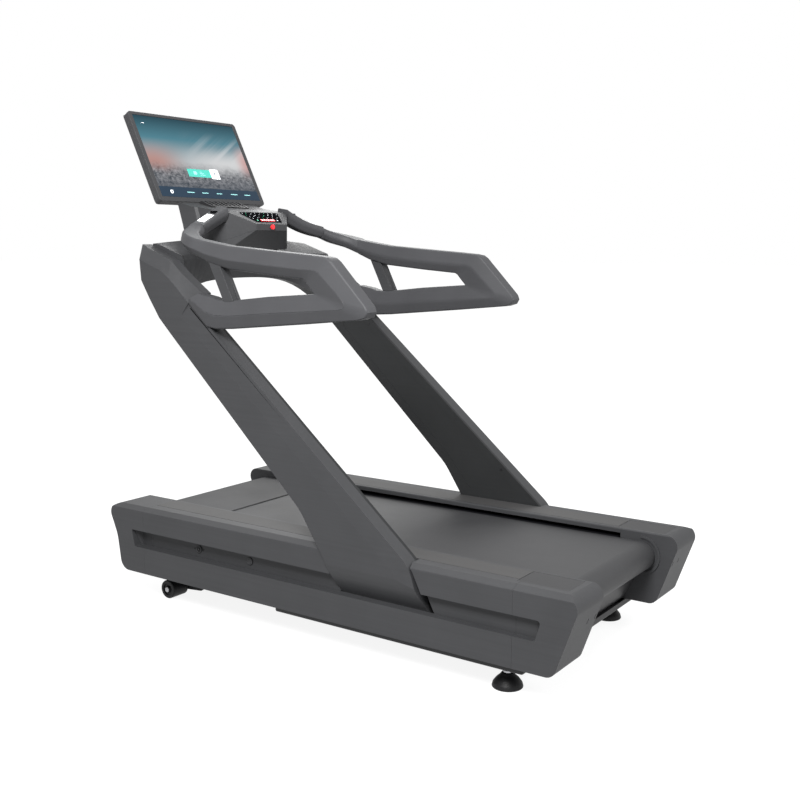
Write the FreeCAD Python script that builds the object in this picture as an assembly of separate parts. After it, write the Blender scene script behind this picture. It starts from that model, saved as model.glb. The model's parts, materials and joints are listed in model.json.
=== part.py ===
"""A commercial treadmill, built as separate sub-parts.

Frame: millimetres, +Z up, +Y forward to the console, +X to the runner's right.
Shapes are drawn from the middle of the base. write_parts() then moves them all along Y, so that
the origin is on the floor under the middle of the whole machine.
"""
import FreeCAD, Part
import math
import os

V = FreeCAD.Vector

# ---------------------------------------------------------------- driving dimensions
# Base
HALF_WIDTH = 460.0          # outer face of each side skirt
RAIL_INNER = 291.0          # inner face of each side skirt
BASE_FRONT = 954.0          # sharp front top corner of a skirt, before rounding
BASE_REAR = -958.5          # sharp rear top corner of a skirt, before rounding
SKIRT_TOP = 346.3
SKIRT_BOTTOM = 104.0
SHOULDER_Z = 335.8          # where the outer chamfer starts
SHOULDER_X = 432.0          # where the outer chamfer ends
WALL = 4.0
FRONT_SEAM = 765.0          # joint between skirt and front cap
REAR_SEAM = -743.5          # joint between skirt and rear cap
SLOT_LOW = 200.0
SLOT_HIGH = 262.0
SLOT_FLOOR = 428.0          # how far the slot's floor stands from the middle plane
NOTCH_POCKET = 36.0         # how far the skirt stands back from the upright's foot, at the slot
GAP = 0.4                   # clearance between neighbouring covers

# Belt and rollers
BELT_HALF = 280.0
BELT_TOP = 316.0
BELT_THICK = 2.5
REAR_ROLLER_Y = -820.5
REAR_ROLLER_R = 46.5
FRONT_ROLLER_Y = 600.0
FRONT_ROLLER_R = 40.0
AXLE_R = 12.0
RUN_FIT = 0.05              # radial clearance of a turning shaft
DECK_THICK = 22.0

# Steel frame
TUBE_IN = 312.0
TUBE_OUT = 345.0
TUBE_LOW = 130.0
TUBE_HIGH = 250.0
BOLT_X = 326.0              # middle plane of a rear tension bolt

# Hood and belly
HOOD_REAR = 560.0
HOOD_TOP = 320.0
HOOD_WALL = 4.0
PAN_BOTTOM = 82.0

# Drive
MOTOR_Y = 750.0
MOTOR_Z = 205.0
MOTOR_R = 62.0
PULLEY_X = 295.0            # middle of the drive belt
PULLEY_WIDE = 20.0
ROLLER_PULLEY_R = 38.0
MOTOR_PULLEY_R = 22.0
SWITCH_PIVOT = (905.0, 212.0)   # y, z

# Lift
ARM_PIVOT = (470.0, 128.0)  # y, z
WHEEL_AT = (727.0, 34.0)    # y, z
WHEEL_R = 34.0
WHEEL_IN = 316.0
WHEEL_OUT = 388.0

# Uprights, head and handles
UP_IN = 399.0
UP_OUT = 467.5
BEVEL_DEEP = 5.0            # shallow bevel along an upright's rear edge
BEVEL_WIDE = 58.0
BEVEL_OVER = 5.0            # how far the bevel's tool runs past the bevel
UP_MID = 440.0              # where the head's side chamfer ends
ARM_IN = 407.0
ARM_OUT = 484.0
BAR_START_X = 165.0         # the front bar's end inside the console
BAR_END_X = 330.0           # joint between front bar and side handle
BAR_TILT = 4.0              # how far a bar's two top edges stand above and below its middle
SCREW_INSET = 18.0          # how far the cover screws stand from the upright's edge

# Feet
FOOT_X = 358.0
FOOT_Y = -677.5
FOOT_R = 47.0

# Screen
SCREEN_LOW = (818.5, 1443.0)    # y, z of the bezel's lower edge, on the viewing face
SCREEN_HIGH = (980.5, 1771.0)
SCREEN_HALF = 280.0
GLASS_MARGIN = 18.0


# ---------------------------------------------------------------- helpers
def box(x0, x1, y0, y1, z0, z1):
    """Return a box from its lowest and highest corners."""
    return Part.makeBox(x1 - x0, y1 - y0, z1 - z0, V(x0, y0, z0))


def cyl(radius, start, end):
    """Return a cylinder between two points."""
    axis = V(*end) - V(*start)
    return Part.makeCylinder(radius, axis.Length, V(*start), axis)


def cyl_x(radius, x0, x1, y, z):
    """Return a cylinder that lies across the machine."""
    return cyl(radius, (x0, y, z), (x1, y, z))


def cone(r0, r1, start, end):
    """Return a frustum between two points."""
    axis = V(*end) - V(*start)
    return Part.makeCone(r0, r1, axis.Length, V(*start), axis)


def rounded_wire(corners, place):
    """Return a closed wire through corners (a, b, radius), with tangent arcs."""
    points = [V(a, b, 0) for a, b, _ in corners]
    count = len(points)
    starts, ends, middles = [], [], []
    for i in range(count):
        here = points[i]
        back = (points[i - 1] - here).normalize()
        ahead = (points[(i + 1) % count] - here).normalize()
        half = math.acos(max(-1.0, min(1.0, back.dot(ahead)))) / 2
        radius = corners[i][2]
        if radius <= 0:
            starts.append(here)
            ends.append(here)
            middles.append(None)
            continue
        run = radius / math.tan(half)
        bisector = (back + ahead).normalize()
        middle = here + bisector * (radius / math.sin(half) - radius)
        starts.append(here + back * run)
        ends.append(here + ahead * run)
        middles.append(middle)
    edges = []
    for i in range(count):
        if middles[i] is not None:
            arc = Part.Arc(place(starts[i]), place(middles[i]), place(ends[i]))
            edges.append(arc.toShape())
        after = starts[(i + 1) % count]
        if (after - ends[i]).Length > 1e-4:
            edges.append(Part.makeLine(place(ends[i]), place(after)))
    return Part.Wire(edges)


def side_prism(corners, x0, x1):
    """Extrude a side outline of (y, z, radius) corners from x0 to x1."""
    wire = rounded_wire(corners, lambda p: V(x0, p.x, p.y))
    return Part.Face(wire).extrude(V(x1 - x0, 0, 0))


def front_prism(corners, y0, y1):
    """Extrude an outline of (x, z, radius) corners from y0 to y1."""
    wire = rounded_wire(corners, lambda p: V(p.x, y0, p.y))
    return Part.Face(wire).extrude(V(0, y1 - y0, 0))


def plan_prism(corners, z0, z1):
    """Extrude a plan outline of (x, y, radius) corners from z0 to z1."""
    wire = rounded_wire(corners, lambda p: V(p.x, p.y, z0))
    return Part.Face(wire).extrude(V(0, 0, z1 - z0))


def sharp(points):
    """Turn (a, b) points into corners with no radius."""
    return [(a, b, 0) for a, b in points]


def loft(sections, ruled=True):
    """Return a solid through closed polygons, each a list of (x, y, z)."""
    wires = [Part.makePolygon([V(*p) for p in s] + [V(*s[0])]) for s in sections]
    return Part.makeLoft(wires, True, ruled)


def mirrored(shape):
    """Return the left-hand copy of a right-hand shape."""
    return shape.mirror(V(0, 0, 0), V(1, 0, 0))


def both(shape):
    """Return a right-hand shape with its left-hand copy."""
    return [shape, mirrored(shape)]


def join(shapes):
    """Fuse shapes into one clean shape."""
    result = shapes[0]
    for shape in shapes[1:]:
        result = result.fuse(shape)
    return result.removeSplitter()


def cut(shape, *tools):
    """Cut each tool out of a shape."""
    for tool in tools:
        shape = shape.cut(tool)
    return shape


def soften(shape, radius, choose):
    """Round the edges that choose(edge) accepts, and leave the shape alone if that fails."""
    edges = [e for e in shape.Edges if choose(e)]
    try:
        rounded = shape.makeFillet(radius, edges)
    except Part.OCCError:
        return shape
    if rounded.isValid() and rounded.Volume > 0:
        return rounded
    return shape


def save(name, *shapes):
    """Keep one sub-part under its name; several solids make a group."""
    solids = []
    for shape in shapes:
        solids.extend(shape.Solids)
    result = solids[0] if len(solids) == 1 else Part.makeCompound(solids)
    if not result.isValid() or min(s.Volume for s in solids) <= 0:
        print("check", name)
    MADE[name] = result


def write_parts():
    """Centre the machine on the origin along Y, and write each sub-part."""
    boxes = [shape.optimalBoundingBox(False) for shape in MADE.values()]
    shift = -(min(b.YMin for b in boxes) + max(b.YMax for b in boxes)) / 2
    os.makedirs("parts", exist_ok=True)
    for name, shape in MADE.items():
        moved = shape.copy()
        moved.translate(V(0, shift, 0))
        moved.exportStep("parts/" + name + ".step")
    print(len(MADE), "nodes, moved along Y by", round(shift, 4))


def save_pair(name, shape):
    """Keep a right-hand sub-part and its left-hand copy."""
    save(name + "_right", shape)
    save(name + "_left", mirrored(shape))


# ---------------------------------------------------------------- side skirts
def skirt_outline(inset=0.0):
    """Return the skirt's side outline, moved in by inset."""
    top = SKIRT_TOP - inset
    low = SKIRT_BOTTOM + inset
    return [
        (BASE_FRONT - 1.5 * inset, top, 34.0 - inset / 2),
        (905.0 - inset, 232.0, 160.0),
        (886.0 - inset, low, 42.0),
        (-873.5 + inset, low, 34.0),
        (BASE_REAR + 1.4 * inset, top, 38.0 - inset / 2),
    ]


def skirt_block():
    """Return the full right skirt as a solid, ends included."""
    side = side_prism(skirt_outline(), RAIL_INNER, HALF_WIDTH)
    section = front_prism([
        (RAIL_INNER, SKIRT_BOTTOM - 1, 0),
        (HALF_WIDTH, SKIRT_BOTTOM - 1, 0),
        (HALF_WIDTH, SHOULDER_Z, 3.0),
        (SHOULDER_X, SKIRT_TOP, 6.0),
        (RAIL_INNER, SKIRT_TOP, 5.0),
    ], BASE_REAR - 5, BASE_FRONT + 5)
    return side.common(section)


def slot_tool(grow=0.0):
    """Return the long recess of a skirt's outer face, grown by grow for its wall."""
    side = side_prism([
        (813.0 + grow, SLOT_LOW - grow, 6.0),
        (828.0 + grow, SLOT_HIGH + grow, 5.0),
        (-834.5 - grow, SLOT_HIGH + grow, 10.0),
        (-815.0 - grow, SLOT_LOW - grow, 8.0),
    ], SLOT_FLOOR - 10 - grow, HALF_WIDTH + 5)
    plan = plan_prism(sharp([
        (HALF_WIDTH + 5, 840.0 + grow),
        (SLOT_FLOOR - 6 - grow, 810.0 + grow),
        (SLOT_FLOOR + 8 - grow, -812.0 - grow),
        (HALF_WIDTH + 5, -840.0 - grow),
    ]), SLOT_LOW - grow - 1, SLOT_HIGH + grow + 1)
    return side.common(plan)


def upright_outline(rear=0.0, front=0.0):
    """Return the upright's side outline from its foot to the head's seam, grown at rear and front."""
    slope = 1.0685
    return [
        (-452.0 - rear, 150.0, 0),
        (-394.0 - rear, 338.0, 120.0),
        (498.0 - rear * slope, 1094.0 + rear, 0),
        (585.0 + front * slope, 985.0 - front, 0),
        (24.0 + front, 455.0, 220.0),
        (-78.0 + front, 300.0, 160.0),
        (-130.0 + front, 150.0, 0),
    ]


def upright_bevel():
    """Return the sliver that bevels an upright's outer face along its rear edge."""
    rise = BEVEL_DEEP / BEVEL_WIDE
    stations = (
        ((-458.0, 130.0), (0.956, -0.295)),
        ((-394.0, 338.0), (0.834, -0.552)),
        ((520.0, 1112.6), (0.647, -0.763)),
    )
    sections = []
    for (y, z), (ny, nz) in stations:
        edge = (y - BEVEL_OVER * ny, z - BEVEL_OVER * nz)
        inside = (y + (BEVEL_WIDE + BEVEL_OVER) * ny, z + (BEVEL_WIDE + BEVEL_OVER) * nz)
        sections.append([
            (UP_OUT - BEVEL_DEEP - rise * BEVEL_OVER, *edge),
            (UP_OUT + rise * BEVEL_OVER, *edge),
            (UP_OUT + rise * BEVEL_OVER, *inside),
        ])
    return loft(sections)


def upright_block():
    """Return the outer volume of the right upright, its foot drawn in behind the slot's lip."""
    block = cut(side_prism(upright_outline(), UP_IN, UP_OUT), upright_bevel())
    trim = front_prism([
        (UP_OUT + 1, 290.0, 0),
        (UP_OUT, 290.0, 0),
        (UP_OUT - 2, 272.0, 160.0),
        (SLOT_FLOOR - 6, 198.0, 30.0),
        (SLOT_FLOOR - 8, 140.0, 0),
        (UP_OUT + 1, 140.0, 0),
    ], -600, 100)
    return block.cut(trim)


def notch_tool():
    """Return the opening in the skirt for the upright, which leaves the slot's lower lip whole."""
    outline = upright_outline(4.0, 1.0)
    outline[0] = (outline[0][0] - NOTCH_POCKET, outline[0][1], 0)
    opening = side_prism(outline, UP_IN - 6, UP_OUT + 10)
    return opening.cut(box(SLOT_FLOOR - 4, 500, -700, 100, 0, SLOT_LOW))


def make_skirts():
    """Write the skirts, their end caps, the foot rails and the step pads."""
    block = cut(skirt_block(), slot_tool())
    inner = side_prism(skirt_outline(WALL), RAIL_INNER + WALL, HALF_WIDTH - WALL)
    ceiling = front_prism([
        (RAIL_INNER + WALL, SKIRT_BOTTOM, 0),
        (HALF_WIDTH - WALL, SKIRT_BOTTOM, 0),
        (HALF_WIDTH - WALL, SHOULDER_Z - 3, 0),
        (SHOULDER_X, SKIRT_TOP - WALL, 0),
        (RAIL_INNER + WALL, SKIRT_TOP - WALL, 0),
    ], BASE_REAR, BASE_FRONT)
    hollow = cut(inner.common(ceiling), slot_tool(WALL))
    open_side = box(RAIL_INNER - 1, RAIL_INNER + WALL + 1, REAR_SEAM, FRONT_SEAM,
                    SKIRT_BOTTOM - 1, BELT_TOP + 14)
    open_floor = box(RAIL_INNER - 1, 372.0, REAR_SEAM, FRONT_SEAM,
                     SKIRT_BOTTOM - 1, SKIRT_BOTTOM + WALL + 1)
    shell = cut(block, hollow, open_side, open_floor)

    rail = box(306.0, 392.0, REAR_SEAM + 15, FRONT_SEAM - GAP, SKIRT_TOP - 2.0, SKIRT_TOP + 5)
    pad = plan_prism([
        (304.0, REAR_SEAM + 14, 1.0),
        (408.0, REAR_SEAM + 14, 1.0),
        (408.0, -893.0, 6.0),
        (304.0, -893.0, 6.0),
    ], SKIRT_TOP - 2.0, SKIRT_TOP + 5)
    shell = cut(shell, rail, pad)

    frame_way = box(RAIL_INNER - 1, RAIL_INNER + WALL + 1, FRONT_SEAM, 892.0, 124.0, 262.0)
    shell = cut(shell, frame_way)
    front = box(RAIL_INNER - 5, HALF_WIDTH + 5, FRONT_SEAM + GAP, 1000, 0, 400)
    rear = box(RAIL_INNER - 5, HALF_WIDTH + 5, -1000, REAR_SEAM - GAP, 0, 400)
    middle = box(RAIL_INNER - 5, HALF_WIDTH + 5, REAR_SEAM, FRONT_SEAM, 0, 400)
    skirt = cut(shell.common(middle), notch_tool())
    axle_hole = cyl_x(AXLE_R + 1.0, RAIL_INNER - 1, 340.0, REAR_ROLLER_Y, roller_z())
    guide = cut(cyl_x(66.0, RAIL_INNER - 6.0, RAIL_INNER, REAR_ROLLER_Y, roller_z()),
                cyl_x(58.0, RAIL_INNER - 7.0, RAIL_INNER + 1, REAR_ROLLER_Y, roller_z()))
    lower_half = box(RAIL_INNER - 8, RAIL_INNER + 1, REAR_ROLLER_Y - 80, REAR_ROLLER_Y + 4,
                     100.0, BELT_TOP + 20)
    rear_cap = shell.common(rear).fuse(guide.common(lower_half))
    rear_cap = cut(rear_cap, axle_hole, marks_tool())
    save_pair("skirt", largest(skirt))
    save_pair("front_cap", largest(shell.common(front)))
    save_pair("rear_cap", largest(rear_cap))

    strip = box(306.0 + GAP, 392.0 - GAP, REAR_SEAM + 15 + GAP, FRONT_SEAM - 2 * GAP,
                SKIRT_TOP - 2.0, SKIRT_TOP + 0.6)
    strip = soften(strip, 0.4, lambda e: e.BoundBox.ZMin > SKIRT_TOP)
    save("foot_rails", *both(strip))
    plate = plan_prism([
        (304.0 + GAP, REAR_SEAM + 14 - GAP, 1.0),
        (408.0 - GAP, REAR_SEAM + 14 - GAP, 1.0),
        (408.0 - GAP, -893.0 + GAP, 6.0),
        (304.0 + GAP, -893.0 + GAP, 6.0),
    ], SKIRT_TOP - 2.0, SKIRT_TOP - 0.2)
    save("step_pads", *both(plate))


def marks_tool():
    """Return the two small upright slots in a rear cap's end face."""
    marks = []
    for x in (302.0, 352.0):
        marks.append(box(x - 2, x + 2, -960.0, -880.0, 242.0, 258.0))
    outside = side_prism(skirt_outline(1.6), RAIL_INNER - 5, HALF_WIDTH + 5)
    return marks[0].fuse(marks[1]).cut(outside)


def largest(shape):
    """Return a shape's largest solid."""
    return max(shape.Solids, key=lambda s: s.Volume)


def roller_z():
    """Return the height of the rear roller's axis."""
    return BELT_TOP - BELT_THICK - REAR_ROLLER_R


def front_z():
    """Return the height of the front roller's axis."""
    return BELT_TOP - BELT_THICK - FRONT_ROLLER_R


# ---------------------------------------------------------------- frame, deck and belt
def make_frame():
    """Write the welded main frame, the deck on its cushions, and the belly pan."""
    side = cut(box(TUBE_IN, TUBE_OUT, -790.0, 880.0, TUBE_LOW, TUBE_HIGH),
               box(TUBE_IN + 3, TUBE_OUT - 3, -791.0, 881.0, TUBE_LOW + 3, TUBE_HIGH - 3))
    pieces = both(side)
    for y in (-560.0, -120.0, 300.0):
        tube = cut(box(-TUBE_IN, TUBE_IN, y - 25, y + 25, 150.0, 200.0),
                   box(-TUBE_IN - 1, TUBE_IN + 1, y - 22, y + 22, 153.0, 197.0))
        pieces.append(tube)
    front = cut(box(-TUBE_IN, TUBE_IN, 840.0, 880.0, 130.0, 180.0),
                box(-TUBE_IN - 1, TUBE_IN + 1, 843.0, 877.0, 133.0, 177.0))
    pieces.append(front)
    pieces.extend(both(box(TUBE_OUT, 398.0, -430.0, -150.0, 134.0, 142.5)))
    for y0, y1, axis_z in ((REAR_ROLLER_Y - 30, -742.0, roller_z()),
                           (FRONT_ROLLER_Y - 28, FRONT_ROLLER_Y + 28, front_z())):
        pieces.extend(both(box(TUBE_IN, 340.0, y0, y1, TUBE_HIGH - 2, axis_z + 18)))
    pieces.extend(both(box(TUBE_IN, 340.0, REAR_ROLLER_Y - 30, -788.0, 228.0, TUBE_HIGH)))
    pieces.extend(both(box(28.0, TUBE_IN + 1, MOTOR_Y - 70, MOTOR_Y + 70, 132.0, 140.0)))
    pieces.extend(both(box(16.0, 24.0, 800.0, 842.0, 98.0, 139.0)))
    pieces.append(cyl_x(6.0, -24.0, 24.0, 812.0, 112.0))
    pieces.extend(both(box(270.0, TUBE_IN + 1, ARM_PIVOT[0] - 24, ARM_PIVOT[0] + 24, 102.0, 160.0)))
    frame = join(pieces)
    frame = cut(frame, cyl_x(AXLE_R, -341.0, 341.0, REAR_ROLLER_Y, roller_z()))
    frame = cut(frame, cyl_x(AXLE_R, -341.0, 341.0, FRONT_ROLLER_Y, front_z()))
    frame = cut(frame, cyl_x(10.0 + RUN_FIT, -TUBE_IN, TUBE_IN, *ARM_PIVOT), *tension_bolts())
    save("main_frame", frame)

    deck_top = BELT_TOP - BELT_THICK - 0.3
    deck_low = deck_top - DECK_THICK
    deck = box(-288.0, 288.0, -768.0, 545.0, deck_low, deck_top)
    deck = soften(deck, 4.0, lambda e: abs(e.Length - 576.0) < 1 and e.BoundBox.ZMin > 300)
    deck = join([deck] + both(box(287.0, 338.0, -735.0, 545.0, deck_low, deck_top)))
    cushions = []
    for y in (-700.0, -430.0, -160.0, 110.0, 380.0):
        middle = (TUBE_IN + TUBE_OUT) / 2
        cushion = cut(cyl(15.0, (middle, y, TUBE_HIGH), (middle, y, deck_low)),
                      cyl(5.0, (middle, y, TUBE_HIGH - 1), (middle, y, deck_top)))
        cushions.extend(both(cushion))
    save("running_deck", deck)
    save("deck_cushions", *cushions)

    pan = plan_prism([
        (-440.0, -770.0, 8.0),
        (440.0, -770.0, 8.0),
        (440.0, 160.0, 8.0),
        (-440.0, 160.0, 8.0),
    ], PAN_BOTTOM, SKIRT_BOTTOM - GAP)
    pan = soften(pan, 6.0, lambda e: e.BoundBox.ZMax < PAN_BOTTOM + 0.1)
    pan = cut(pan, box(-436.0, 436.0, -766.0, 156.0, PAN_BOTTOM + 3, SKIRT_BOTTOM + 1))
    for s in (-1, 1):
        pan = cut(pan, cyl(24.0, (s * FOOT_X, FOOT_Y, 70.0), (s * FOOT_X, FOOT_Y, 110.0)))
    save("belly_pan", pan)


def tension_bolts():
    """Return the two bolts that set the rear axle's place along the machine."""
    y, z = REAR_ROLLER_Y, roller_z()
    shank = cyl(5.0, (BOLT_X, y, z), (BOLT_X, y - 52.0, z))
    head = cyl(8.5, (BOLT_X, y - 38.0, z), (BOLT_X, y - 46.0, z))
    return both(shank.fuse(head))


def belt_loop():
    """Return the closed belt round both rollers, and round the deck between them."""
    zr, zf = roller_z(), front_z()
    slope = math.atan2((zf - FRONT_ROLLER_R) - (zr - REAR_ROLLER_R), FRONT_ROLLER_Y - REAR_ROLLER_Y)

    def ring(extra):
        rr = REAR_ROLLER_R + extra
        rf = FRONT_ROLLER_R + extra
        edges = []
        top_r = V(0, REAR_ROLLER_Y, zr + rr)
        top_f = V(0, FRONT_ROLLER_Y, zf + rf)
        low_f = V(0, FRONT_ROLLER_Y + rf * math.sin(slope), zf - rf * math.cos(slope))
        low_r = V(0, REAR_ROLLER_Y + rr * math.sin(slope), zr - rr * math.cos(slope))
        edges.append(Part.makeLine(top_r, top_f))
        edges.append(Part.Arc(top_f, V(0, FRONT_ROLLER_Y + rf, zf), low_f).toShape())
        edges.append(Part.makeLine(low_f, low_r))
        edges.append(Part.Arc(low_r, V(0, REAR_ROLLER_Y - rr, zr), top_r).toShape())
        return Part.Face(Part.Wire(edges))

    band = ring(BELT_THICK).cut(ring(0.15))
    band.translate(V(-BELT_HALF, 0, 0))
    return band.extrude(V(2 * BELT_HALF, 0, 0))


def make_rollers():
    """Write the belt, both rollers with their axles, and the rear apron."""
    save("running_belt", belt_loop())
    axles = []
    for name, y, z, radius in (("rear", REAR_ROLLER_Y, roller_z(), REAR_ROLLER_R),
                               ("front", FRONT_ROLLER_Y, front_z(), FRONT_ROLLER_R)):
        half = 283.0
        drum = cyl_x(radius - 0.15, -half, half, y, z)
        drum = cut(drum, cyl_x(radius - 5.0, -half + 16, half - 16, y, z))
        drum = cut(drum, cyl_x(AXLE_R + RUN_FIT, -half - 1, half + 1, y, z))
        axle = cyl_x(AXLE_R, -341.0, 341.0, y, z)
        if name == "rear":
            axle = join([axle] + tension_bolts())
        save(name + "_roller", drum)
        axles.append(axle)
    save("roller_axles", *axles)

    apron = side_prism([
        (-786.0, 213.0, 0),
        (-815.0, 213.0, 8.0),
        (-757.0, SKIRT_BOTTOM, 0),
        (-753.0, SKIRT_BOTTOM, 0),
        (-810.0, 210.0, 4.0),
        (-786.0, 210.0, 0),
    ], -RAIL_INNER + 0.6, RAIL_INNER - 0.6)
    save("rear_apron", largest(cut(apron, MADE["rear_cap_left"], MADE["rear_cap_right"])))


# ---------------------------------------------------------------- hood and drive
def make_hood():
    """Write the motor hood."""
    half = RAIL_INNER - 1.5
    outer = side_prism([
        (HOOD_REAR, HOOD_TOP, 5.0),
        (846.0, HOOD_TOP, 60.0),
        (938.0, 286.0, 24.0),
        (884.0, 112.0, 30.0),
        (862.0, 104.0, 0),
        (HOOD_REAR, 104.0, 0),
    ], -half, half)
    inner = side_prism([
        (HOOD_REAR - 1, HOOD_TOP - HOOD_WALL, 0),
        (845.0, HOOD_TOP - HOOD_WALL, 56.0),
        (933.0, 283.5, 20.0),
        (880.0, 116.0, 26.0),
        (862.0, 100.0, 0),
        (HOOD_REAR - 1, 100.0, 0),
    ], -half - 1, half + 1)
    ribs = [cut(side_prism([
        (690.0, HOOD_TOP, 5.0),
        (846.0, HOOD_TOP, 60.0),
        (938.0, 286.0, 24.0),
        (890.0, 180.0, 0),
        (690.0, 300.0, 0),
    ], x, x + 3.0), side_prism(sharp([
        (890.0, 140.0), (900.0, 250.0), (850.0, 290.0), (680.0, 302.0), (680.0, 140.0),
    ]), x - 1, x + 4)) for x in (-half, half - 3.0)]
    hood = join([cut(outer, inner)] + ribs)
    hood = cut(hood, belt_loop(), box(-half - 5, half + 5, 540.0, 890.0, 60.0, 240.0))
    hood = cut(hood, power_hole())
    save("motor_hood", largest(hood))


def power_hole():
    """Return the cut-outs for the power inlet and switch in the hood's front face."""
    return box(-246.0, -170.0, 860.0, 960.0, 196.0, 228.0)


def make_drive():
    """Write the motor, its flywheel pulley, the drive belt, controller, inlet and switch."""
    z_roller = front_z()
    turns = [math.radians(60 * k) for k in range(6)]
    holes = [cyl_x(6.0, 280, 310, FRONT_ROLLER_Y + 24 * math.cos(a), z_roller + 24 * math.sin(a))
             for a in turns]
    pulley = cut(cyl_x(ROLLER_PULLEY_R, 283.0, PULLEY_X + 11, FRONT_ROLLER_Y, z_roller),
                 cyl_x(AXLE_R + RUN_FIT, 200, 310, FRONT_ROLLER_Y, z_roller), *holes)
    save("roller_pulley", pulley)

    case = cyl_x(MOTOR_R, -40.0, 170.0, MOTOR_Y, MOTOR_Z)
    ends = [cyl_x(MOTOR_R - 4, -52.0, -40.0, MOTOR_Y, MOTOR_Z),
            cyl_x(MOTOR_R - 4, 170.0, 184.0, MOTOR_Y, MOTOR_Z)]
    feet = [box(x, x + 30.0, MOTOR_Y - 50, MOTOR_Y + 50, 140.0, MOTOR_Z - 40)
            for x in (40.0, 130.0)]
    motor = cut(join([case] + ends + feet), cyl_x(9.0 + RUN_FIT, -60, 190, MOTOR_Y, MOTOR_Z))
    motor = cut(motor, cyl_x(40.0, -30.0, 160.0, MOTOR_Y, MOTOR_Z))
    save("drive_motor", motor)
    rotor = [cyl_x(9.0, -58.0, PULLEY_X + 12, MOTOR_Y, MOTOR_Z),
             cyl_x(36.0, -20.0, 150.0, MOTOR_Y, MOTOR_Z),
             cyl_x(58.0, 196.0, 226.0, MOTOR_Y, MOTOR_Z),
             cyl_x(MOTOR_PULLEY_R, PULLEY_X - 11, PULLEY_X + 11, MOTOR_Y, MOTOR_Z),
             cyl_x(16.0, 226.0, PULLEY_X - 11, MOTOR_Y, MOTOR_Z)]
    save("motor_flywheel", join(rotor))

    dy = MOTOR_Y - FRONT_ROLLER_Y
    dz = MOTOR_Z - z_roller
    span = math.hypot(dy, dz)
    lean = math.asin((ROLLER_PULLEY_R - MOTOR_PULLEY_R) / span)
    along = math.atan2(dz, dy)

    def tangent_loop(extra):
        rr = ROLLER_PULLEY_R + extra
        rm = MOTOR_PULLEY_R + extra
        up, down = along + math.pi / 2 - lean, along - math.pi / 2 + lean

        def at(cy, cz, r, a):
            return V(PULLEY_X - PULLEY_WIDE / 2, cy + r * math.cos(a), cz + r * math.sin(a))
        a1 = at(FRONT_ROLLER_Y, z_roller, rr, up)
        a2 = at(MOTOR_Y, MOTOR_Z, rm, up)
        b1 = at(MOTOR_Y, MOTOR_Z, rm, down)
        b2 = at(FRONT_ROLLER_Y, z_roller, rr, down)
        edges = [
            Part.makeLine(a1, a2),
            Part.Arc(a2, at(MOTOR_Y, MOTOR_Z, rm, along), b1).toShape(),
            Part.makeLine(b1, b2),
            Part.Arc(b2, at(FRONT_ROLLER_Y, z_roller, rr, along + math.pi), a1).toShape(),
        ]
        return Part.Face(Part.Wire(edges))

    strap = tangent_loop(3.2).cut(tangent_loop(0.3)).extrude(V(PULLEY_WIDE, 0, 0))
    save("drive_belt", strap)

    control = box(-275.0, -80.0, 640.0, 800.0, 160.0, 196.0)
    fins = [box(-270.0, -85.0, y, y + 3.0, 196.0, 222.0) for y in range(648, 796, 12)]
    stand = box(-265.0, -90.0, 690.0, 790.0, 140.0, 160.0)
    save("motor_controller", join([control, stand] + fins))

    inlet = cut(box(-245.5, -207.0, 880.0, 918.0, 196.5, 227.5),
                box(-241.0, -211.0, 900.0, 925.0, 201.0, 223.0))
    pins = [box(x - 1, x + 1, 899.0, 912.0, 206.0, 212.0) for x in (-233.0, -219.0)]
    pins.append(box(-227.0, -225.0, 899.0, 912.0, 214.0, 220.0))
    seat = cut(box(-207.0, -170.5, 880.0, 918.0, 196.5, 227.5),
               box(-201.0, -173.5, 884.0, 925.0, 199.5, 224.5))
    pivot_y, pivot_z = SWITCH_PIVOT
    save("power_inlet", cut(join([inlet, seat] + pins), cyl_x(1.85, -204.0, -172.0, pivot_y, pivot_z)))
    rocker = side_prism(sharp([
        (917.5, 203.0), (914.5, 212.0), (920.0, 221.0), (903.0, 221.0), (897.0, 212.0), (903.0, 203.0),
    ]), -200.5, -174.0)
    save("power_switch", rocker.fuse(cyl_x(1.8, -203.5, -172.2, pivot_y, pivot_z)))


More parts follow.
